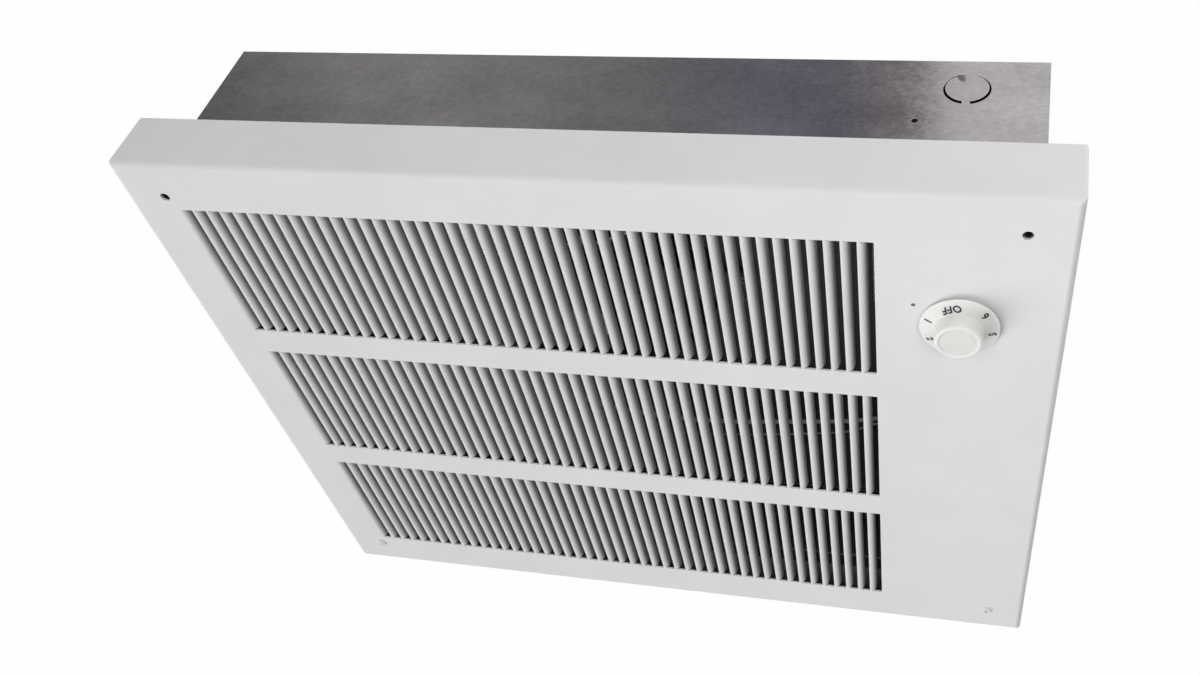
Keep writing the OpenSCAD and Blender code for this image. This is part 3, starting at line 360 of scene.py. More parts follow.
@dataclass(frozen=True)
class Coated(Finish):
    """Paint sprayed on the outside, with grey shade painted on the faces marked as inside."""

    # grey of the shade painted on the inner faces, and its greatest share
    shade_grey: str = "#5f5e5d"
    shade_most: float = 0.92

    def tinted(self, tree: Tree, where: Any, colour: Any) -> Any:
        """Paints grey shade over the paint on the marked faces, as much as each mark says."""
        mark = add(tree, "ShaderNodeAttribute", attribute_name="inside").outputs["Fac"]
        return blend(tree, math_of(tree, "MULTIPLY", mark, self.shade_most), colour, linear(self.shade_grey))


@dataclass(frozen=True)
class HeatTinted(Metal):
    """Steel that has run hot: straw and blue along its length, over the oxide's grey.

    tempers are its colours, each with its place along X in metres, and tempered is their share.
    wander is the size of their waves in millimetres, which shift them by up to drift metres.
    """

    tempers: Tones = (
        (-0.21, "#8a7350"), (-0.096, "#6c5a55"), (-0.001, "#565a66"), (0.094, "#6b5a4e"), (0.17, "#93815f"),
    )
    tempered: float = 0.55
    wander: float = 30.0
    drift: float = 0.05

    def tinted(self, tree: Tree, where: Any, colour: Any) -> Any:
        """Mixes the temper colours in along X.

        Args:
            tree: The material's node tree.
            where: The coordinates, in metres.
            colour: The oxide's colour.

        Returns:
            The tinted colour.
        """
        waves = add(tree, "ShaderNodeTexNoise", {"Vector": where, "Scale": 1 / (self.wander * MM)})
        along = math_of(tree, "MULTIPLY_ADD", waves.outputs[0], self.drift, axes(tree, where)[0])
        return blend(tree, self.tempered, colour, ramp(tree, along, self.tempers))


# Polyester powder coat baked on steel: satin, a faint orange peel 2 mm wide and slow waves of the
# sheet under it, which only show in the gloss. Grey shade is painted on the side that no one sees,
# and on the louvres, darker deeper into their gaps.
POWDER_COAT = Coated(
    "white_powder_coat", "#e2e1e1", "#e6e5e5", 0.5,
    (
        Grain(2.2, height=0.010, rough=0.03, detail=1.0),
        Grain(0.7, tone=0.30, height=0.002, detail=1.0),
        Grain(45, tone=0.5, rough=0.02),
        Grain(120, height=0.25, detail=0.0),
    ),
)
# Hot-dip galvanised sheet, skin-passed: a mottled spangle that hardly shows, and short fine streaks
# from the rolls, which run along the coil, here along X. Inside the box, shade is painted into it, darker and
# rougher.
GALVANISED = BoxSheet(
    "galvanised_sheet", "#9d9a9b", "#bcb8b9", 0.15,
    (
        Grain(3.2, tone=0.14, rough=0.015, tilt=0.002, pattern=Pattern.CELLS),
        Grain(0.9, tone=0.26, rough=0.015, stretch=(3, 1, 1), detail=3.0),
        Grain(0.4, tone=0.12, rough=0.02, height=0.001),
        Grain(22, tone=0.30, rough=0.03, stretch=(1.6, 1, 1), detail=4.0),
        Grain(90, height=0.03, detail=0.0),
    ),
)
# Bright zinc plating on turned and pressed steel parts: smooth, slightly blue, small stains.
ZINC_PLATED = Metal(
    "zinc_plated_steel", "#a9acb0", "#c0c1bf", 0.26,
    (Grain(3, tone=0.3, rough=0.06, detail=4.0), Grain(0.35, tone=0.15, rough=0.05, height=0.003)),
)
# Electrical steel laminations 0.5 mm thick, lacquered: dark edges with a line between sheets,
# drawn 1 mm wide so that they show.
LAMINATED = Metal(
    "lacquered_laminations", "#3c3c40", "#6b6a6c", 0.42,
    (
        Grain(1.0, tone=0.35, height=0.05, stretch=(1e6, 1, 1e6), pattern=Pattern.BANDS),
        Grain(4, tone=0.2, rough=0.1),
    ),
)
# Winding of enamelled copper under a woven tape wrap, varnished: turns 0.8 mm wide show through.
WINDING = Finish(
    "taped_copper_winding", "#6b3a1e", "#a06436", 0.45,
    (
        Grain(0.8, tone=0.35, height=0.06, stretch=(1, 1e6, 1e6), pattern=Pattern.BANDS),
        Grain(2.5, tone=0.25, rough=0.1),
    ),
    coat=0.3, coat_roughness=0.25,
)
# Zinc or aluminium pressure die casting: satin skin, fine pits and flow marks.
DIE_CAST = Metal(
    "die_cast_alloy", "#8e8f92", "#b1b2b3", 0.38,
    (Grain(6, tone=0.25, rough=0.08, detail=4.0), Grain(0.5, tone=0.2, height=0.01)),
)
# Rolled aluminium strip, stamped into fan blades: bright, with fine mill lines.
MILL_ALUMINIUM = Metal(
    "mill_finish_aluminium", "#b9babb", "#d6d6d5", 0.3,
    (Grain(0.5, tone=0.3, rough=0.08, stretch=(60, 1, 1)), Grain(12, tone=0.2, rough=0.05, detail=3.0)),
)
# Centreless-ground steel: bright, with fine rings round the shaft.
GROUND_STEEL = Metal(
    "ground_steel", "#8d8e90", "#bcbcbd", 0.18,
    (Grain(0.3, tone=0.2, rough=0.06, height=0.002, stretch=(30, 1, 30)),),
)
# Sintered bronze bearings, full of oil: matte, porous, brown.
SINTERED_BRONZE = Metal(
    "sintered_bronze", "#7d5c34", "#a9824e", 0.5,
    (Grain(0.35, tone=0.4, rough=0.1, height=0.02), Grain(3, tone=0.2)),
)
# Steel sheath and fins of the element, brazed and run hot: oxide grey with temper colours.
TINTED_STEEL = HeatTinted(
    "heat_tinted_steel", "#54504c", "#7c746b", 0.42,
    (Grain(8, tone=0.3, rough=0.1, detail=4.0), Grain(0.6, tone=0.2, height=0.01)),
)
# Glazed steatite: warm white, glossy, with small specks.
STEATITE = Finish(
    "glazed_steatite", "#e3dccb", "#f0ebdf", 0.22,
    (Grain(1.2, tone=0.4, rough=0.06), Grain(6, tone=0.3, height=0.05)),
    coat=0.4, coat_roughness=0.08,
)
# Turned brass, bright with a little tarnish in spots.
BRASS = Metal(
    "turned_brass", "#a98242", "#d9b46c", 0.26,
    (Grain(2, tone=0.35, rough=0.1, detail=4.0), Grain(0.3, tone=0.15, height=0.003)),
)
# Compression-moulded phenolic: brown, wood-flour filler shows as fine flecks.
PHENOLIC = Finish(
    "moulded_phenolic", "#3c2013", "#5d3720", 0.38,
    (Grain(0.7, tone=0.45, rough=0.08, detail=3.0), Grain(0.5, height=0.006)),
)
# Injection-moulded red nylon of the reset button: a faint spark-eroded texture of the mould.
RED_PLASTIC = Finish(
    "red_nylon", "#9b1712", "#b3241c", 0.32,
    (Grain(0.4, tone=0.3, height=0.006), Grain(5, tone=0.2, rough=0.05)),
)
# The same moulding in ivory nylon, a little yellowed.
IVORY_PLASTIC = Finish(
    "ivory_nylon", "#d6cfb6", "#e2dcc7", 0.4,
    (Grain(0.4, tone=0.3, height=0.008), Grain(9, tone=0.4, rough=0.05)),
)
# The same moulding in black nylon, with glass fibre that dulls it.
BLACK_PLASTIC = Finish(
    "black_nylon", "#1b1b1d", "#2b2b2e", 0.42,
    (Grain(0.4, tone=0.35, rough=0.06, height=0.01), Grain(7, tone=0.2)),
)
# Injection-moulded white ABS of the knob: fine texture, and light seeps 3 mm into it.
KNOB_PLASTIC = Finish(
    "white_abs", "#e9e9e6", "#efefec", 0.34,
    (
        Grain(0.35, height=0.0015, rough=0.03, detail=1.0),
        Grain(1.5, tone=0.25),
        Grain(14, tone=0.4, rough=0.02),
    ),
    seep=3.0,
)
# Drawn copper tube: bright along its length, darker where it was handled.
COPPER = Metal(
    "drawn_copper", "#9a4f31", "#c9805a", 0.28,
    (Grain(7, tone=0.4, rough=0.1, detail=4.0), Grain(0.3, tone=0.2, height=0.003)),
)
# Moulded rubber: black, matte, with a little bloom.
RUBBER = Finish(
    "moulded_rubber", "#161616", "#2a2a29", 0.72,
    (Grain(0.5, tone=0.3, height=0.015), Grain(5, tone=0.35, rough=0.08)),
)
# Green dyed zinc plating, which marks the earth screw.
GREEN_ZINC = Metal("green_dyed_zinc", "#1c5a34", "#3d8a58", 0.3, (Grain(1.5, tone=0.4, rough=0.08),))
WIRE_GRAINS = (Grain(2, tone=0.3, rough=0.06), Grain(0.6, height=0.01))
# Extruded black PVC insulation: semi-gloss, faintly wavy along the wire.
PVC_BLACK = Finish("black_pvc", "#17171a", "#242428", 0.36, WIRE_GRAINS)
# The same insulation in red.
PVC_RED = Finish("red_pvc", "#8e120e", "#a81c15", 0.36, WIRE_GRAINS)
# The same insulation in white, drawn mid grey: shade painted into its colour inside the dark box.
PVC_WHITE = Finish("white_pvc", "#8b8a85", "#9b9a94", 0.38, WIRE_GRAINS)
# Pad-printed black ink of the knob's marks, thin enough to take the surface's gloss.
INK_BLACK = Finish("black_printing_ink", "#1a1a1c", "#26262a", 0.4, (Grain(0.3, tone=0.4, rough=0.08),))
# The same ink in grey, for the cover's dot.
INK_GREY = Finish("grey_printing_ink", "#5b5a5a", "#6a6968", 0.45, (Grain(0.3, tone=0.4, rough=0.08),))

# The finish of each material slot in the record.
SLOT_FINISHES: dict[str, Finish] = {
    "white_enamel": POWDER_COAT, "galvanised": GALVANISED, "plated_steel": ZINC_PLATED,
    "lamination": LAMINATED, "winding": WINDING, "die_cast": DIE_CAST,
    "fan_aluminium": MILL_ALUMINIUM, "shaft_steel": GROUND_STEEL, "bronze": SINTERED_BRONZE,
    "element_steel": TINTED_STEEL, "porcelain": STEATITE, "brass": BRASS,
    "brown_phenolic": PHENOLIC, "red_button": RED_PLASTIC, "ivory_plastic": IVORY_PLASTIC,
    "black_plastic": BLACK_PLASTIC, "knob_white": KNOB_PLASTIC, "copper": COPPER,
    "black_rubber": RUBBER, "green_steel": GREEN_ZINC, "lead_black": PVC_BLACK, "lead_red": PVC_RED,
    "lead_white": PVC_WHITE,
}


# ---- Mesh helpers ----


def arc(centre: Point, radius: float, start: float, end: float, steps: int) -> list[Point]:
    """Returns the points of an arc.

    Args:
        centre: Its centre.
        radius: Its radius.
        start: The first point's angle, in degrees.
        end: The last point's angle.
        steps: The number of segments.

    Returns:
        The points, both ends included.
    """
    turns = [math.radians(start + (end - start) * k / steps) for k in range(steps + 1)]
    return [(centre[0] + radius * math.cos(a), centre[1] + radius * math.sin(a)) for a in turns]


def bent_sheet(path: Sequence[Point], thickness: float, radius: float, steps: int = 5) -> list[Point]:
    """Outlines a sheet with square bends.

    Args:
        path: The corners of its outer side, with a right angle at each inner one.
        thickness: The sheet's thickness, towards the inside of the bends.
        radius: The outer radius of the bends.
        steps: Segments in a bend.

    Returns:
        The closed outline.
    """
    spots = [Vector(p) for p in path]
    ways = [(b - a).normalized() for a, b in zip(spots, spots[1:])]
    outer = [spots[0]]
    inner = [spots[0] + ways[1] * thickness]
    for spot, come, go in zip(spots[1:], ways, ways[1:]):
        centre = spot - come * radius + go * radius
        for k in range(steps + 1):
            turn = math.radians(90 * k / steps)
            out = come * math.sin(turn) - go * math.cos(turn)
            outer.append(centre + out * radius)
            inner.append(centre + out * (radius - thickness))
    outer.append(spots[-1])
    inner.append(spots[-1] - ways[-2] * thickness)
    return [tuple(p) for p in outer + inner[::-1]]


def linked(name: str, data: Any) -> Object:
    """Makes an object of a mesh, curve, light or camera and links it to the scene."""
    made = bpy.data.objects.new(name, data)
    bpy.context.scene.collection.objects.link(made)
    return made


def discard(thing: Object) -> None:
    """Removes an object and its mesh."""
    mesh = thing.data
    bpy.data.objects.remove(thing)
    bpy.data.meshes.remove(mesh)


def new_object(name: str, bm: bmesh.types.BMesh) -> Object:
    """Turns a closed mesh, still in millimetres, into an object.

    Args:
        name: The object's name.
        bm: The mesh, which is freed.

    Returns:
        The object, linked to the scene.
    """
    bmesh.ops.remove_doubles(bm, verts=bm.verts, dist=MERGE)
    bmesh.ops.recalc_face_normals(bm, faces=bm.faces)
    mesh = bpy.data.meshes.new(name)
    bm.to_mesh(mesh)
    bm.free()
    return linked(name, mesh)


def prism(outline: Sequence[Point], low: float, high: float, place: Place, name: str = "prism") -> Object:
    """Makes a closed prism.

    Args:
        outline: Its section.
        low: Where it starts along its length.
        high: Where it ends.
        place: Turns a section point and a length into X, Y and Z.
        name: The object's name.

    Returns:
        The prism.
    """
    bm = bmesh.new()
    ends = [[bm.verts.new(place(a, b, c)) for a, b in outline] for c in (low, high)]
    for end in ends:
        bm.faces.new(end)
    for k in range(len(outline)):
        n = (k + 1) % len(outline)
        bm.faces.new((ends[0][k], ends[0][n], ends[1][n], ends[1][k]))
    return new_object(name, bm)


def lathe(profile: Sequence[Point], steps: int, place: Place, name: str = "lathe") -> Object:
    """Makes a turned solid.

    Args:
        profile: Radius and height of each point, from axis to axis or a closed loop off it.
        steps: Segments round the axis.
        place: Turns two cross-axis values and a height into X, Y and Z.
        name: The object's name.

    Returns:
        The solid.
    """
    bm = bmesh.new()
    rings = []
    for radius, height in profile:
        if radius < 1e-6:
            rings.append([bm.verts.new(place(0, 0, height))] * steps)
            continue
        turns = [math.tau * k / steps for k in range(steps)]
        rings.append(
            [bm.verts.new(place(radius * math.cos(a), radius * math.sin(a), height)) for a in turns]
        )
    pairs = list(zip(rings, rings[1:]))
    if profile[0][0] > 1e-6:
        pairs.append((rings[-1], rings[0]))
    for one, two in pairs:
        for k in range(steps):
            n = (k + 1) % steps
            corners = list(dict.fromkeys((one[k], one[n], two[n], two[k])))
            if len(corners) > 2:
                bm.faces.new(corners)
    return new_object(name, bm)


def settle(thing: Object) -> Object:
    """Turns an object's modifiers into plain mesh.

    Args:
        thing: The object.

    Returns:
        The object.
    """
    bpy.context.view_layer.update()
    graph = bpy.context.evaluated_depsgraph_get()
    mesh = bpy.data.meshes.new_from_object(
        thing.evaluated_get(graph), preserve_all_data_layers=True, depsgraph=graph
    )
    old = thing.data
    thing.modifiers.clear()
    thing.data = mesh
    bpy.data.meshes.remove(old)
    return thing


class Cut(Enum):
    """What a boolean does."""

    AWAY = "DIFFERENCE"
    TOGETHER = "UNION"


def combine(base: Object, tools: Iterable[Object], how: Cut) -> Object:
    """Cuts solids out of a base, or joins them to it.

    Args:
        base: The object that stays.
        tools: The solids, which are removed.
        how: Away or together.

    Returns:
        The base.
    """
    tools = list(tools)
    for tool in tools:
        change = base.modifiers.new("cut", "BOOLEAN")
        change.operation, change.solver, change.object = how.value, "EXACT", tool
    settle(base)
    for tool in tools:
        discard(tool)
    return base


def hole(radius: float, depth: float, place: Place, edge: float = 0.25, steps: int = 48) -> Object:
    """Makes the cutter of a round hole whose front edge is rounded.

    Args:
        radius: The hole's radius.
        depth: Thickness of the sheet.
        place: Turns two values across the hole and a depth into X, Y and Z.
        edge: The rounding of its front edge.
        steps: Segments round the hole.

    Returns:
        The cutter.
    """
    flare = arc((radius + edge, edge), edge, 180, 270, 3)
    profile = [(0, depth + 1), (radius, depth + 1), *flare, (radius + edge, -1), (0, -1)]
    return lathe(profile, steps, place, "hole")


def smooth_by_angle(thing: Object, limit: float = SHARP, weighted: bool = True) -> Object:
    """Shades an object smooth, with sharp edges where its faces meet at more than a limit.

    Args:
        thing: The object.
        limit: The angle, in degrees.
        weighted: Whether large faces keep their own normals.

    Returns:
        The object.
    """
    bm = bmesh.new()
    bm.from_mesh(thing.data)
    bmesh.ops.dissolve_degenerate(bm, edges=bm.edges, dist=1e-5)
    for face in bm.faces:
        face.smooth = True
    for edge in bm.edges:
        edge.smooth = len(edge.link_faces) == 2 and edge.calc_face_angle(math.pi) < math.radians(limit)
    bm.to_mesh(thing.data)
    bm.free()
    if weighted:
        even = thing.modifiers.new("even", "WEIGHTED_NORMAL")
        even.keep_sharp = True
        even.weight = 100
        settle(thing)
    return thing


def mark_shaded(thing: Object, hidden: Callable[[Vector, Vector, Vector], float]) -> Object:
    """Marks a piece's inner faces, for finishes that paint shade there.

    Args:
        thing: The piece, in millimetres.
        hidden: Tells from a face's middle, normal and corner how much shade is painted there, from 0 to 1.

    Returns:
        The piece.
    """
    mesh = thing.data
    marks = mesh.attributes.new("inside", "FLOAT", "CORNER").data
    for face in mesh.polygons:
        for k in face.loop_indices:
            corner = mesh.vertices[mesh.loops[k].vertex_index].co
            marks[k].value = float(hidden(face.center, face.normal, corner))
    return thing


def hand_over(
    thing: Object,
    name: str,
    finish: Finish,
    body: str = BODY,
    stands_for: Sequence[str] = (),
) -> Object:
    """Names, dresses and mounts a finished piece.

    Args:
        thing: The piece, in millimetres.
        name: Its name.
        finish: Its finish.
        body: The body it rides on.
        stands_for: The CAD nodes that it replaces.

    Returns:
        The piece, in metres.
    """
    thing.data.transform(Matrix.Scale(MM, 4))
    thing.name = thing.data.name = name
    thing.data.materials.clear()
    thing.data.materials.append(finish.material())
    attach(thing, body)
    if stands_for:
        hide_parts(*stands_for)
    LOG.info("%s: %d faces on %s", name, len(thing.data.polygons), body)
    return thing


# ---- Geometry Nodes ----


def repeat_tree(name: str) -> bpy.types.NodeTree:
    """Builds the tree that repeats a unit in rows and columns.

    Its inputs are the unit, the columns and their step, the rows and their step, how much the
    depth of each copy varies, and the material. Its seed is fixed.

    Args:
        name: The tree's name.

    Returns:
        The tree.
    """
    tree = bpy.data.node_groups.new(name, "GeometryNodeTree")
    for label, kind in (
        ("Unit", "NodeSocketObject"),
        ("Columns", "NodeSocketInt"),
        ("Column Step", "NodeSocketVector"),
        ("Rows", "NodeSocketInt"),
        ("Row Step", "NodeSocketVector"),
        ("Depth Low", "NodeSocketVector"),
        ("Depth High", "NodeSocketVector"),
        ("Finish", "NodeSocketMaterial"),
    ):
        tree.interface.new_socket(label, in_out="INPUT", socket_type=kind)
    tree.interface.new_socket("Geometry", in_out="OUTPUT", socket_type="NodeSocketGeometry")
    given = add(tree, "NodeGroupInput").outputs
    columns, rows = (
        add(tree, "GeometryNodeMeshLine", {"Count": given[label + "s"], "Offset": given[label + " Step"]})
        for label in ("Column", "Row")
    )
    spots = add(
        tree, "GeometryNodeInstanceOnPoints", {"Points": rows.outputs[0], "Instance": columns.outputs[0]}
    )
    flat = add(tree, "GeometryNodeRealizeInstances", {0: spots.outputs[0]})
    unit = add(tree, "GeometryNodeObjectInfo", {"Object": given["Unit"], "As Instance": True})
    size = add(
        tree,
        "FunctionNodeRandomValue",
        {"Min": given["Depth Low"], "Max": given["Depth High"], "Seed": 7},
        data_type="FLOAT_VECTOR",
    )
    copies = add(
        tree,
        "GeometryNodeInstanceOnPoints",
        {"Points": flat.outputs[0], "Instance": unit.outputs["Geometry"], "Scale": size.outputs["Value"]},
    )
    whole = add(tree, "GeometryNodeRealizeInstances", {0: copies.outputs[0]})
    dressed = add(
        tree, "GeometryNodeSetMaterial", {"Geometry": whole.outputs[0], "Material": given["Finish"]}
    )
    add(tree, "NodeGroupOutput", {0: dressed.outputs[0]})
    return tree


def repeat(unit: Object, place: Sequence[float], **values: Any) -> Object:
    """Repeats a unit with the tree above and returns the plain result.

    Args:
        unit: The mesh to repeat, which is removed.
        place: Where its first copy goes, in millimetres.
        values: The tree's inputs, with _ for a space. Without more, it makes one row of equal copies.

    Returns:
        The copies, as one object.
    """
    tree = bpy.data.node_groups.get("repeat_unit") or repeat_tree("repeat_unit")
    host = linked("copies", bpy.data.meshes.new("copies"))
    nodes = host.modifiers.new("repeat", "NODES")
    nodes.node_group = tree
    single = {"Rows": 1, "Row_Step": (0.0, 0.0, 0.0), "Depth_Low": ALIKE, "Depth_High": ALIKE}
    values = single | values | {"Unit": unit}
    names = {item.name: item.identifier for item in tree.interface.items_tree if item.in_out == "INPUT"}
    for label, value in values.items():
        nodes[names[label.replace("_", " ")]] = value
    settle(host)
    host.data.transform(Matrix.Translation(place))
    discard(unit)
    return host


# ---- Sub-assemblies ----


@dataclass
class FrontCover:
    """The white cover: a folded tray with three rows of pressed louvres.

    uneven is the least share of its depth that a louvre has. outward is the way a blade's outer
    side faces, and the three sizes after it tell how grey shade is painted on it, darker with the depth.
    """

    half_w: float = 251.0
    half_h: float = 200.0
    depth: float = 38.0
    sheet: float = 1.2
    fold: float = 3.5
    corner: float = 1.5
    hole_x: float = 227.0
    hole_z: float = 177.0
    hole_r: float = 2.6
    shaft: Point = (198.5, 114.0)
    shaft_r: float = 6.0
    first_x: float = -223.5
    pitch: float = 8.25
    columns: int = 46
    rows: tuple[float, ...] = (-168.0, -49.4, 69.2)
    row_h: float = 98.8
    land: float = 0.6
    root: float = 1.6
    bend: float = 2.4
    angle: float = 80.0
    blade_depth: float = 5.8
    end_gap: float = 0.8
    edge: float = 0.35
    uneven: float = 0.965
    outward: Spot = (0.64, -0.77, 0.0)
    # depth where the painted shade starts, how fast it darkens, and its most
    shade_from: float = 0.15
    shade_rate: float = 0.27
    shade_limit: float = 0.65
    dot: Point = (175.0, 126.0)
    dot_r: float = 1.1
    ink: float = 0.05

    def face(self, a: float, b: float, depth: float) -> Point:
        """Puts a point of the face, and a depth behind it, in the frame."""
        return a, depth - self.depth, b

    def ring(self, bm: bmesh.types.BMesh, inset: float, y: float, corner: float) -> list[Any]:
        """Adds one rectangle of vertices with round corners.

        Args:
            bm: The mesh.
            inset: How far it lies inside the cover's outline.
            y: Its place along Y.
            corner: The radius of its corners.

        Returns:
            Its vertices in order.
        """
        w, h = self.half_w - inset - corner, self.half_h - inset - corner
        points: list[Point] = []
        for quarter, (sx, sz) in enumerate(((1, 1), (-1, 1), (-1, -1), (1, -1))):
            points += arc((sx * w, sz * h), corner, 90 * quarter, 90 * quarter + 90, 6)
        return [bm.verts.new((x, y, z)) for x, z in points]

    def shell(self) -> Object:
        """Makes the tray without its openings."""
        bm = bmesh.new()
        front = -self.depth
        loops = []
        sides = ((0.0, self.corner, self.fold), (self.sheet, 0.4, self.fold - self.sheet))
        for step, corner, radius in sides:
            wall = [(step, 0.0), (step, front + self.fold + 1.0)]
            bend = [
                (step + radius * (1 - math.cos(a)), front + self.fold - radius * math.sin(a))
                for a in (math.radians(9 * k) for k in range(11))
            ]
            line = wall + bend + [(self.fold + 1.0, front + step)]
            if step == 0.0:
                line[:1] = [(0.35, 0.0), (0.1, -0.1), (0.0, -0.35)]
            loops.append([self.ring(bm, d, y, max(corner * (1 - (d - step) / radius), 0.0)) for d, y in line])
        outer, inner = loops
        chain = outer[::-1] + inner
        for one, two in zip(chain, chain[1:]):
            for k in range(len(one)):
                n = (k + 1) % len(one)
                bm.faces.new((one[k], one[n], two[n], two[k]))
        bmesh.ops.remove_doubles(bm, verts=bm.verts, dist=MERGE)
        bmesh.ops.dissolve_degenerate(bm, edges=bm.edges, dist=1e-5)
        bmesh.ops.holes_fill(bm, edges=[e for e in bm.edges if e.is_boundary], sides=0)
        return new_object("shell", bm)

    def within(self, spot: Vector, normal: Vector, corner: Vector) -> bool:
        """Tells whether a face's middle lies deeper than the sheet's outer skin."""
        outer = max(abs(spot.x) - self.half_w, abs(spot.z) - self.half_h, -spot.y - self.depth)
        return outer < 0.1 - self.sheet

    def window(self, low: float) -> Object:
        """Makes the cutter of one row's window, whose right edge is rounded.

        Args:
            low: The row's lower end.

        Returns:
            The cutter.
        """
        left = self.first_x + self.edge
        right = self.first_x + self.columns * self.pitch
        flare = arc((right + self.edge, self.edge), self.edge, 180, 270, 3)
        outline = [(left, self.sheet + 1), (right, self.sheet + 1), *flare]
        outline += [(right + self.edge, -1), (left, -1)]
        return prism(outline, low, low + self.row_h, lambda a, b, c: self.face(a, c, b), "window")

    def section(self, reach: float | None) -> list[Point]:
        """Outlines a louvre's section: its rounded left edge, land, round bend and blade.

        Args:
            reach: How far from its left edge to stop, or None for the whole blade.

        Returns:
            The outline, as X and depth.
        """
        out_r = self.bend + self.sheet
        turn = math.radians(self.angle)
        straight = (
            self.blade_depth - out_r * (1 - math.cos(turn)) - self.sheet * math.cos(turn)
        ) / math.sin(turn)
        centre = (self.land, out_r)
        sweeps = [self.angle, self.angle]
        if reach is not None:
            sweeps = [math.degrees(math.asin((reach - self.land) / r)) for r in (out_r, self.bend)]
        steps = 9 if reach is None else 2
        outer = arc(centre, out_r, -90, -90 + sweeps[0], steps)
        inner = arc(centre, self.bend, -90 + sweeps[1], -90, steps if reach is not None else 6)
        tip: list[Point] = []
        if reach is None:
            way = (math.cos(turn) * straight, math.sin(turn) * straight)
            tip = [(p[0] + way[0], p[1] + way[1]) for p in (outer[-1], inner[0])]
        left = arc((self.edge, self.edge), self.edge, 180, 270, 3)
        return [*left, *outer, *tip, *inner, (0.0, self.sheet)]

    def louvre(self) -> Object:
        """Makes one louvre, with its blade cut free of the face at both ends."""

        def place(a: float, b: float, c: float) -> Spot:
            """Puts the section's X and depth, and a height, in the louvre's own axes."""
            return a, b, c

        def bare(spot: Vector, normal: Vector, corner: Vector) -> float:
            """Tells how much grey shade is painted: all of it on the back, and more of it deeper in the gap.
            """
            back = normal.dot(Vector(self.outward)) < -0.7
            return 1.0 if back else min(self.shade_limit, self.shade_rate * max(0.0, corner.y - self.shade_from))

        blade = prism(self.section(None), self.end_gap, self.row_h - self.end_gap, place, "blade")
        joined = prism(self.section(self.root), -0.05, self.row_h + 0.05, place, "root")
        combine(blade, [joined], Cut.TOGETHER)
        smooth_by_angle(blade, weighted=False)
        return mark_shaded(blade, bare)

    def build(self) -> None:
        """Makes the tray, its louvres and the index dot."""
        shell = self.shell()
        tools = [self.window(low) for low in self.rows]
        holes = [(sx * self.hole_x, sz * self.hole_z, self.hole_r) for sx in (-1, 1) for sz in (-1, 1)]
        tools += [
            hole(r, self.sheet, lambda a, b, c, x=x, z=z: self.face(x + a, z + b, c))
            for x, z, r in [*holes, (*self.shaft, self.shaft_r)]
        ]
        combine(shell, tools, Cut.AWAY)
        smooth_by_angle(shell)
        # Grey shade is painted on the shell's inner faces.
        mark_shaded(shell, self.within)
        hand_over(shell, "cover_shell", POWDER_COAT, stands_for=["front_cover"])
        step = self.rows[1] - self.rows[0]
        louvres = repeat(
            self.louvre(),
            (self.first_x, -self.depth, self.rows[0]),
            Columns=self.columns,
            Column_Step=(self.pitch, 0.0, 0.0),
            Rows=len(self.rows),
            Row_Step=(0.0, 0.0, step),
            Depth_Low=(1.0, self.uneven, 1.0),
            Finish=POWDER_COAT.material(),
        )
        hand_over(louvres, "cover_louvres", POWDER_COAT, stands_for=["front_cover"])
        r, ink, (x, z) = self.dot_r, self.ink, self.dot
        drop = [(0, 0.02), (0, -ink), (r - 0.15, -ink), (r, -0.02), (r, 0.02)]
        dot = lathe(drop, 32, lambda a, b, c: (x + a, c - self.depth, z + b))
        hand_over(smooth_by_angle(dot), "index_dot", INK_GREY)


@dataclass
class CoverScrews:
    """The two low pan-head screws in the cover's lower corners, painted with it."""

    spot: Spot = (-227.0, -38.0, -177.0)
    apart: float = 454.0
    head_r: float = 3.8
    head_h: float = 1.4
    shank_r: float = 1.6
    length: float = 14.0
    turns: int = 12
    thread: float = 0.35
    recess: float = 1.0
    arm: float = 1.9
    arm_w: float = 0.33
    arm_turn: float = 20.0

    def build(self) -> None:
        """Makes one screw with a cross recess and repeats it."""
        head = [(0.0, -self.head_h), (1.6, -self.head_h + 0.05), (2.9, -self.head_h + 0.28)]
        head += arc((self.head_r - 0.7, -0.55), 0.7, -55, 0, 4)
        head += [(self.head_r, -0.15), (self.head_r - 0.1, 0.0), (self.shank_r, 0.0)]
        thread = []
        t = self.thread
        for k in range(self.turns):
            y = 1.6 + k * (self.length - 2.6) / self.turns
            thread += [(self.shank_r, y), (self.shank_r - t, y + t), (self.shank_r, y + 2 * t)]
        profile = head + thread + [(self.shank_r - 0.6, self.length), (0.0, self.length)]
        screw = lathe(profile, 32, lambda a, b, c: (a, c, b), "screw")
        arms = []
        floor = self.recess - self.head_h
        for turn in (self.arm_turn, self.arm_turn + 90):
            way = Vector((math.cos(math.radians(turn)), math.sin(math.radians(turn)))) * self.arm
            side = Vector((-way.y, way.x)).normalized() * self.arm_w
            outline = [tuple(way * s + side * t) for s, t in ((1, -1), (1, 1), (-1, 1), (-1, -1))]
            arms.append(prism(outline, -self.head_h - 0.6, floor, lambda a, b, c: (a, c, b), "arm"))
        combine(screw, arms, Cut.AWAY)
        smooth_by_angle(screw, weighted=False)
        pair = repeat(
            screw,
            self.spot,
            Columns=2,
            Column_Step=(self.apart, 0.0, 0.0),
            Finish=POWDER_COAT.material(),
        )
        hand_over(pair, "cover_screw_pair", POWDER_COAT, stands_for=["cover_screws"])


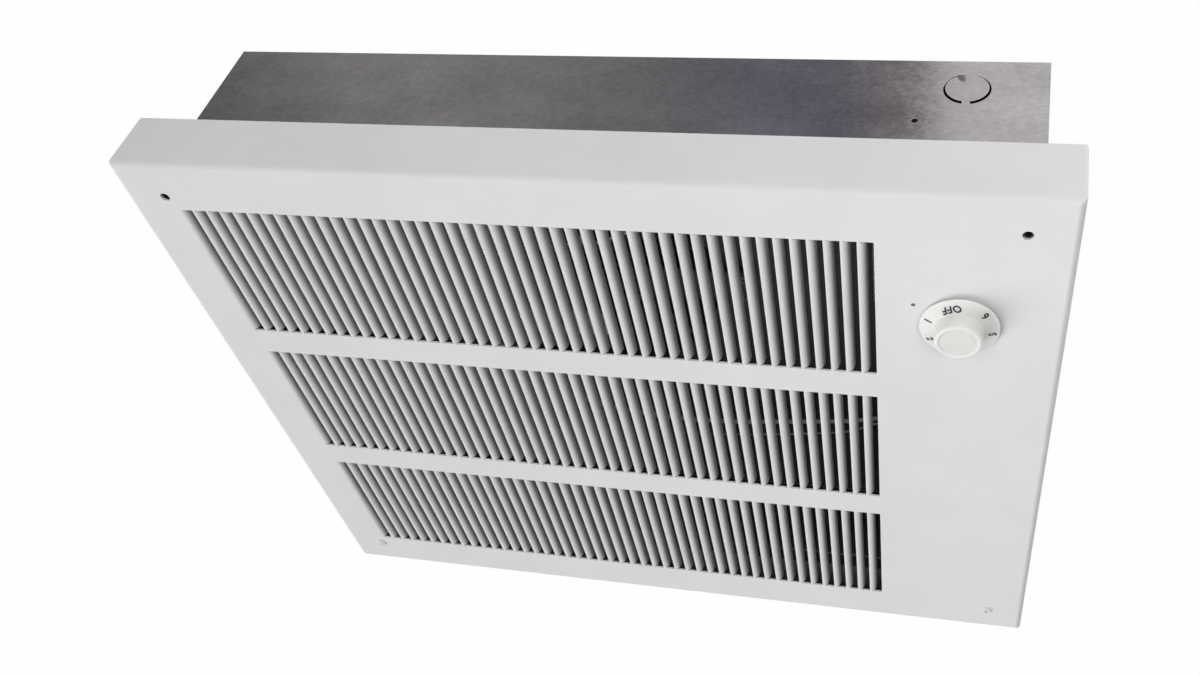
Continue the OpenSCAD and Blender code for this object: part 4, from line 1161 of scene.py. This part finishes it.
@dataclass
class Knob:
    """The thermostat's knob: a dial skirt with printed marks, and a plain round grip."""

    centre: Point = (198.5, 114.0)
    back: float = -39.6
    skirt_r: float = 20.1
    skirt_edge: float = 1.8
    root_r: float = 12.7
    root_h: float = 3.8
    top_r: float = 11.9
    height: float = 12.0
    dish: float = 0.8
    rim_w: float = 1.8
    off_turn: float = -15.8
    first_turn: float = -70.8
    turn_step: float = -48.4
    mark_r: float = 16.8
    off_r: float = 15.9
    mark_size: float = 5.4
    mark_weight: float = 0.14
    mark_spacing: float = 1.06
    ink: float = 0.035
    hollow_r: float = 10.4
    boss_r: float = 5.4
    bore_r: float = 3.06
    bore_h: float = 9.2
    roof: float = 2.5

    def place(self, a: float, b: float, height: float) -> Spot:
        """Puts two values across the knob, and a height off its back, in the frame."""
        return self.centre[0] + a, self.back - height, self.centre[1] + b

    def slope(self, radius: float) -> float:
        """Returns the skirt's height at a radius."""
        share = (self.skirt_r - 0.6 - radius) / (self.skirt_r - 0.6 - self.root_r)
        return self.skirt_edge + (self.root_h - self.skirt_edge) * share

    def body(self) -> Object:
        """Makes the moulding, hollow at the back."""
        top, r, root = self.height, self.top_r, self.root_r
        floor, lip = top - self.dish, r - self.rim_w
        profile = [(0.0, floor), (lip - 1.0, floor), (lip - 0.6, floor + 0.1), (lip - 0.35, floor + 0.4)]
        profile += [(lip - 0.05, top - 0.12), (lip + 0.3, top)]
        profile += arc((r - 1.1, top - 1.1), 1.1, 90, 8, 7)
        profile += [(root - 0.25, 5.2), (root - 0.1, 4.5), (root + 0.15, 4.0)]
        profile += [(root + 0.45, 3.76), (root + 0.8, self.slope(root + 0.8))]
        rim = self.skirt_r - 0.6
        profile += [(rim - 0.4, self.slope(rim - 0.4))]
        profile += arc((rim - 0.05, self.skirt_edge - 0.65), 0.65, 75, 0, 4)
        profile += [(self.skirt_r, 0.35), (self.skirt_r - 0.3, 0.0), (self.skirt_r - 1.6, 0.0)]
        profile += [(self.hollow_r, self.skirt_edge), (self.hollow_r - 0.2, top - self.roof)]
        profile += [(self.boss_r + 0.1, top - self.roof), (self.boss_r, 0.0), (self.bore_r, 0.0)]
        profile += [(self.bore_r, self.bore_h), (0.0, self.bore_h)]
        profile = [(min(a, self.skirt_r), b) for a, b in profile]
        return smooth_by_angle(lathe(profile, 128, self.place, "knob"), limit=40)

    def marks(self) -> list[tuple[str, float, float]]:
        """Returns each mark with its angle, clockwise from straight up, and its radius."""
        digits = [(str(n + 1), self.first_turn + n * self.turn_step, self.mark_r) for n in range(6)]
        return [("OFF", self.off_turn, self.off_r), *digits]

    def mark(self, text: str, turn: float, middle: float) -> Object:
        """Prints one mark on the skirt, with its top towards the knob's centre.

        Args:
            text: The mark.
            turn: Its angle, clockwise from straight up.
            middle: Its radius.

        Returns:
            The ink, as a thin solid on the cone.
        """
        curve = bpy.data.curves.new("mark", "FONT")
        curve.body, curve.size = text, self.mark_size
        curve.align_x, curve.align_y = "CENTER", "CENTER"
        curve.extrude, curve.resolution_u, curve.offset = 0.5, 3, self.mark_weight
        curve.space_character = self.mark_spacing
        flat = linked("mark", curve)
        bpy.context.view_layer.update()
        graph = bpy.context.evaluated_depsgraph_get()
        mesh = bpy.data.meshes.new_from_object(flat.evaluated_get(graph), depsgraph=graph)
        bpy.data.objects.remove(flat)
        bm = bmesh.new()
        bm.from_mesh(mesh)
        bpy.data.meshes.remove(mesh)
        for vert in bm.verts:
            u, v, side = vert.co
            radius = middle - v
            angle = math.radians(turn) - u / radius
            height = self.slope(radius) + (self.ink if side > 0 else -0.1)
            vert.co = self.place(radius * math.sin(angle), radius * math.cos(angle), height)
        return new_object("mark_" + text, bm)

    def build(self) -> None:
        """Makes the moulding and its marks."""
        knob = self.body()
        hand_over(knob, "knob_moulding", KNOB_PLASTIC, "knob", stands_for=["thermostat_knob"])
        for text, turn, middle in self.marks():
            ink = smooth_by_angle(self.mark(text, turn, middle), weighted=False)
            hand_over(ink, "knob_mark_" + text, INK_BLACK, "knob")


@dataclass
class Knockout:
    """A conduit knockout: a disc held by two bridges, a little bent.

    bridge is half a bridge's width, in degrees. lean and rise tell how the disc stands in its
    hole, and dent holds a dent's place across and along the disc, its width and its depth.
    """

    centre: Spot
    across: Spot
    along: Spot
    out: Spot
    radius: float = 11.1
    slot: float = 0.9
    sheet: float = 0.98
    proud: float = 0.004
    bridge: float = 8.0
    lean: float = 0.0
    rise: float = 0.0
    dent: tuple[float, float, float, float] = (-5.5, 8.8, 2.6, 0.3)

    def place(self, a: float, b: float, depth: float) -> Vector:
        """Puts two values across the disc, and a depth into the box, in the frame."""
        spot = Vector(self.centre) + Vector(self.across) * a + Vector(self.along) * b
        return spot - Vector(self.out) * depth

    def sag(self, a: float, b: float) -> float:
        """Returns how far the disc is pressed in at a point."""
        x, y, reach, deep = self.dent
        far = (a - x) ** 2 + (b - y) ** 2
        return self.lean * b - self.rise + deep * math.exp(-far / reach**2)

    def build(self, name: str) -> Object:
        """Makes the disc and its bridges.

        Args:
            name: The piece's name.

        Returns:
            The piece, still in millimetres.
        """
        bm = bmesh.new()
        steps = 72
        radii = [1.5, 3.5, 5.5, 7.5, 9.5, self.radius - 0.25, self.radius, self.radius + self.slot + 0.1]
        rings = []
        for n, radius in enumerate(radii):
            ring = []
            for k in range(steps):
                turn = math.tau * k / steps
                a, b = radius * math.cos(turn), radius * math.sin(turn)
                sink = self.sag(a, b) if n < len(radii) - 1 else 0.0
                ring.append(bm.verts.new(self.place(a, b, sink + self.proud)))
            rings.append(ring)
        bm.faces.new(rings[0])
        for n, (one, two) in enumerate(zip(rings, rings[1:])):
            for k in range(steps):
                nxt = (k + 1) % steps
                middle = 360 * (k + 0.5) / steps % 180
                if n < len(rings) - 2 or abs(middle - 90) < self.bridge:
                    bm.faces.new((one[k], one[nxt], two[nxt], two[k]))
        loose = [v for v in bm.verts if not v.link_faces]
        bmesh.ops.delete(bm, geom=loose, context="VERTS")
        bm.normal_update()
        disc = new_object(name, bm)
        middle = sum((p.normal for p in disc.data.polygons), Vector())
        if middle.dot(Vector(self.out)) < 0:
            disc.data.flip_normals()
        wall = disc.modifiers.new("wall", "SOLIDIFY")
        wall.thickness, wall.offset = self.sheet, -1.0
        settle(disc)
        return smooth_by_angle(disc)


@dataclass
class WallBox:
    """The galvanised box in the wall: a bent sheet round the top, back and bottom, and two ends.

    strip is the length along the box of each flange's other leg, and the wrap itself starts seam
    behind the front, where the legs of its lips take over.
    """

    half_w: float = 234.0
    half_h: float = 183.0
    front: float = -3.0
    back: float = 85.0
    sheet: float = 1.0
    bend: float = 1.6
    flange: float = 12.0
    tab: float = 14.0
    tab_h: float = 26.0
    lip: float = 14.0
    lip_gap: float = 2.0
    relief: float = 2.2
    strip: float = 12.0
    seam: float = 8.0
    stud_y: tuple[float, float] = (24.5, 60.5)
    stud_z: float = 130.0
    stud_r: float = 2.5
    screw_spot: Point = (168.6, 35.0)
    screw_r: float = 1.6
    post_spot: Point = (227.0, 177.0)
    post_r: float = 3.0
    knock_x: float = 193.0
    knock_y: float = 61.0
    knock_z: float = -130.0

    def knockouts(self) -> dict[str, Knockout]:
        """Returns the three knockouts by name."""
        x, y, up = self.knock_x, self.knock_y, self.half_h
        rear, dent = (x, self.back, self.knock_z), (3, 2, 5, 0.2)
        return {
            "top": Knockout((x, y, up), (1, 0, 0), (0, 1, 0), (0, 0, 1), lean=0.012, rise=0.62),
            "bottom": Knockout((x, y, -up), (1, 0, 0), (0, -1, 0), (0, 0, -1), lean=-0.012, dent=dent),
            "back": Knockout(rear, (-1, 0, 0), (0, 0, 1), (0, 1, 0), dent=(2, -4, 5, 0.3)),
        }

    def wrap(self) -> Object:
        """Makes the bent sheet with its holes."""
        w, h, t = self.half_w, self.half_h, self.sheet

        def across(a: float, b: float, c: float) -> Spot:
            """Puts Y, Z and a place along X in the frame."""
            return c, a, b

        start = self.front + self.seam
        path = [(start, h), (self.back, h), (self.back, -h), (start, -h)]
        sheet = prism(bent_sheet(path, t, self.bend), -w, w, across, "wall_box_wrap")
        lips = []
        for s in (-1, 1):
            edge = [(self.front + self.strip, h - t), (self.front, h - t), (self.front, h + self.lip)]
            lips.append(prism(bent_sheet([(y, s * z) for y, z in edge], t, self.bend), -w, w, across))
        combine(sheet, lips, Cut.TOGETHER)
        tools = []
        for knockout in self.knockouts().values():
            tools.append(hole(knockout.radius + knockout.slot, t, knockout.place, edge=0.2, steps=72))
        x, y = self.screw_spot
        tools += [
            hole(self.screw_r, t, lambda a, b, c, s=s: (x + a, y + b * s, s * (h - c)), edge=0.15, steps=32)
            for s in (-1, 1)
        ]
        return smooth_by_angle(combine(sheet, tools, Cut.AWAY))

    def end(self, side: int) -> Object:
        """Makes one end of the box, with its flanges and corner tabs.

        Args:
            side: 1 for the right end, -1 for the left.

        Returns:
            The end.
        """
        w, h, t, r = self.half_w, self.half_h - self.sheet, self.sheet, self.relief
        front, rear, leg = self.front, self.back - self.sheet, self.strip

        def level(a: float, b: float, c: float) -> Spot:
            """Puts X, Y and a height in the frame."""
            return side * a, b, c

        def upright(a: float, b: float, c: float) -> Spot:
            """Puts X, Z and a depth in the frame."""
            return side * a, c, b

        def strip(path: Sequence[Point], low: float, high: float, place: Place) -> Object:
            """Makes a bent strip of the sheet along a path."""
            return prism(bent_sheet(path, t, self.bend), low, high, place)

        plate = [(w - t, front + r), (w, front + r), (w, rear - r), (w - t, rear - r)]
        base = prism(plate, -h + r, h - r, level, "box_end")
        parts = [strip([(w - self.flange, rear), (w, rear), (w, rear - leg)], -h + r, h - r, level)]
        lip_h = h - self.tab_h - self.lip_gap
        lip_path = [(w - t, front + leg), (w - t, front), (w + self.lip, front)]
        parts.append(strip(lip_path, -lip_h, lip_h, level))
        tab_path = [(w, front + leg), (w, front), (w - self.tab, front)]
        for s in (-1, 1):
            parts.append(strip(tab_path, *sorted((s * (h - r), s * (h - self.tab_h))), level))
            path = [(w - self.flange, s * h), (w, s * h), (w, s * (h - leg))]
            parts.append(strip(path, front + r, rear - r, upright))
        combine(base, parts, Cut.TOGETHER)
        tools = [
            hole(self.stud_r, t, lambda a, b, c, y=y, z=z: (side * (w - c), y + a, z + b), edge=0.2, steps=32)
            for y in self.stud_y
            for z in (-self.stud_z, self.stud_z)
        ]
        x, up = self.post_spot
        tools += [
            hole(self.post_r, t, lambda a, b, c, z=z: (side * (x + a), front + c, z + b), edge=0.2, steps=32)
            for z in (-up, up)
        ]
        return smooth_by_angle(combine(base, tools, Cut.AWAY))

    def build(self) -> None:
        """Makes the wrap, its knockouts and the ends."""
        hand_over(self.wrap(), "wall_box_wrap", GALVANISED, stands_for=["wall_box"])
        for name, knockout in self.knockouts().items():
            disc = knockout.build("knockout_" + name)
            hand_over(disc, "knockout_" + name, GALVANISED)
        for side, name in ((-1, "box_end_left"), (1, "box_end_right")):
            hand_over(self.end(side), name + "_sheet", GALVANISED, stands_for=[name])


@dataclass
class InnerParts:
    """The CAD nodes that keep their own shape: each takes the finish of its slot."""

    slots: dict[str, str] = field(
        default_factory=lambda: {s["node"]: s["material_slot"] for s in frame["record"]["subparts"]}
    )

    def build(self) -> None:
        """Dresses every node."""
        for name, node in frame["nodes"].items():
            node.data.materials.clear()
            node.data.materials.append(SLOT_FINISHES[self.slots[name]].material())
        LOG.info("%d nodes dressed", len(self.slots))


@dataclass
class Studio:
    """The floor, the lights, the camera and the cards that the metal reflects.

    The camera's place is in metres, and right, up and ahead are its own axes in the frame. world
    is the light from all round at the middle, and lean what is added along X, Y and Z.
    """

    eye: Spot = (0.20901, -0.45507, 0.57816)
    right: Spot = (0.972402, 0.195744, -0.126963)
    up: Spot = (-0.075130, 0.777893, 0.623889)
    ahead: Spot = (-0.220886, 0.597132, -0.771131)
    lens: float = 36.178
    sensor: float = 36.0
    shift: Point = (-0.08494, 0.04733)
    clip: Point = (0.01, 50.0)
    level: float = 0.27
    lean: Spot = (0.12, 0.15, 0.07)
    floor_z: float = -1.5
    floor_size: float = 12.0
    floor_glow: float = 0.985
    card_rise: Point = (0.2, 2.6)
    rear_span: Point = (-3.2, 0.12)
    rear_tones: Tones = (
        (-1.1, "#7f7f7f"), (-0.75, "#abaaaa"), (-0.3, "#8f8f91"), (-0.18, "#868892"),
        (-0.06, "#818593"), (0.0, "#83848c"), (0.07, "#9b9294"), (0.11, "#a3a1a9"),
    )
    side_span: Point = (0.47, 3.2)
    side_tone: str = "#5e5e5e"
    front_span: Point = (-2.4, 2.4)
    front_tones: Tones = (
        (-2.4, "#3a3a3a"), (-1.1, "#3a3a3a"), (0.1, "#e0e0e0"), (0.6, "#e0e0e0"), (1.0, "#3a3a3a"),
        (2.4, "#3a3a3a"),
    )

    def camera(self) -> None:
        """Sets up the photograph's camera."""
        data = bpy.data.cameras.new("camera")
        data.lens, data.sensor_width = self.lens, self.sensor
        data.shift_x, data.shift_y = self.shift
        data.clip_start, data.clip_end = self.clip
        made = linked("camera", data)
        columns = [Vector(self.right), Vector(self.up), -Vector(self.ahead)]
        turn = Matrix(columns).transposed()
        made.matrix_world = Matrix.Translation(self.eye) @ turn.to_4x4()
        bpy.context.scene.camera = made

    @staticmethod
    def seen(tree: Tree) -> Any:
        """Returns 1 for the rays that see a backdrop: camera, glossy and transmission rays."""
        rays = add(tree, "ShaderNodeLightPath").outputs
        some = math_of(tree, "MAXIMUM", rays["Is Camera Ray"], rays["Is Glossy Ray"])
        return math_of(tree, "MAXIMUM", some, rays["Is Transmission Ray"])

    def world(self) -> None:
        """Lights the object evenly from all round, a little more from above, behind and the right."""
        world = bpy.data.worlds.new("studio")
        tree = emptied(world)
        parts = axes(tree, add(tree, "ShaderNodeTexCoord").outputs["Generated"])
        level: Any = self.level
        for part, share in zip(parts, self.lean):
            level = math_of(tree, "MULTIPLY_ADD", part, share, level)
        strength = add(
            tree, "ShaderNodeMix", {"Factor": self.seen(tree), 2: level, 3: 1.0}, data_type="FLOAT"
        )
        back = add(
            tree, "ShaderNodeBackground", {"Color": linear("#ffffff"), "Strength": strength.outputs[0]}
        )
        add(tree, "ShaderNodeOutputWorld", {"Surface": back.outputs[0]})
        bpy.context.scene.world = world

    @staticmethod
    def aimed(name: str, data: bpy.types.Light, source: Sequence[float]) -> Object:
        """Makes a light that shines from a point, or from that far away, at the origin."""
        made = linked(name, data)
        made.rotation_euler = Vector(source).to_track_quat("Z", "Y").to_euler()
        return made

    def lamp(self, name: str, place: Sequence[float], size: float, power: float) -> Object:
        """Adds a soft square lamp that faces the origin.

        Args:
            name: Its name.
            place: Its centre.
            size: Its side.
            power: Its watts.

        Returns:
            The lamp.
        """
        data = bpy.data.lights.new(name, "AREA")
        data.shape, data.size, data.energy = "SQUARE", size, power
        made = self.aimed(name, data, place)
        made.location = place
        made.visible_camera = False
        return made

    def sun(self, name: str, source: Sequence[float], spread: float, strength: float) -> Object:
        """Adds a far light from a direction, whose spread is in degrees as seen from the object."""
        data = bpy.data.lights.new(name, "SUN")
        data.energy, data.angle = strength, math.radians(spread)
        return self.aimed(name, data, source)

    @staticmethod
    def backdrop(name: str, mesh: bpy.types.Mesh, surface: Callable[[Tree], Socket]) -> Object:
        """Stands a mesh in the studio that casts no shadow and lights no matt surface.

        Args:
            name: Its name.
            mesh: The mesh.
            surface: Builds its shader in an empty tree and returns the shader.

        Returns:
            The backdrop.
        """
        made = linked(name, mesh)
        material = bpy.data.materials.new(name)
        tree = emptied(material)
        add(tree, "ShaderNodeOutputMaterial", {"Surface": surface(tree)})
        mesh.materials.append(material)
        made.visible_shadow = False
        made.visible_diffuse = False
        return made

    def card(self, name: str, y: float, span: Point, rise: Point, tones: Tones) -> None:
        """Stands an upright card where only the object's metal and gloss reflect it.

        Args:
            name: Its name.
            y: Its place along Y.
            span: Its left and right ends along X.
            rise: Its lower and upper ends along Z.
            tones: The colours that it has, each with its place along X.
        """
        (left, right), (low, high) = span, rise
        corners = [(left, y, low), (right, y, low), (right, y, high), (left, y, high)]
        mesh = bpy.data.meshes.new(name)
        mesh.from_pydata(corners, [], [(0, 1, 2, 3)])

        def glow(tree: Tree) -> Socket:
            """Glows in the tones along X."""
            along = axes(tree, add(tree, "ShaderNodeTexCoord").outputs["Object"])[0]
            colour = ramp(tree, along, tones)
            return add(tree, "ShaderNodeEmission", {"Color": colour, "Strength": 1.0}).outputs[0]

        self.backdrop(name, mesh, glow).visible_camera = False

    def floor(self) -> None:
        """Lays a pale floor that keeps the object's shadow."""
        bm = bmesh.new()
        bmesh.ops.create_grid(bm, x_segments=2, y_segments=2, size=self.floor_size)
        mesh = bpy.data.meshes.new("floor")
        bm.to_mesh(mesh)
        bm.free()

        def pale(tree: Tree) -> Socket:
            """Glows white where it is seen, and takes a faint shadow."""
            matt = add(tree, "ShaderNodeBsdfDiffuse", {"Color": linear("#fafafa")})
            glow = add(tree, "ShaderNodeEmission", {"Color": linear("#ffffff"), "Strength": 1.0})
            share = math_of(tree, "MULTIPLY", self.seen(tree), self.floor_glow)
            both = {0: share, 1: matt.outputs[0], 2: glow.outputs[0]}
            return add(tree, "ShaderNodeMixShader", both).outputs[0]

        self.backdrop("floor", mesh, pale).location.z = self.floor_z

    def build(self) -> None:
        """Sets the whole studio up."""
        self.camera()
        self.world()
        self.floor()
        self.sun("key", (-1.05, -1.0, -0.7), 40, 2.02).visible_glossy = False
        self.sun("fill", (-0.5, -1.0, 1.0), 30, 0.85)
        self.lamp("top", (0.6, -0.75, 0.85), 0.4, 3.6)
        self.lamp("rear", (0.8, 0.6, 0.9), 0.6, 4.0)
        plain = [(x, self.side_tone) for x in self.side_span]
        self.card("rear_card", 1.0, self.rear_span, self.card_rise, self.rear_tones)
        self.card("side_card", 1.0, self.side_span, self.card_rise, plain)
        self.card("front_card", -0.9, self.front_span, (-1.6, -0.1), self.front_tones)
        bpy.context.scene.view_settings.view_transform = "Standard"


def main() -> None:
    """Builds the studio and every sub-assembly."""
    logging.basicConfig(level=logging.INFO, format="%(name)s: %(message)s")
    Studio().build()
    InnerParts().build()
    FrontCover().build()
    CoverScrews().build()
    Knob().build()
    WallBox().build()
    bpy.context.view_layer.update()


if __name__ == "__main__":
    main()
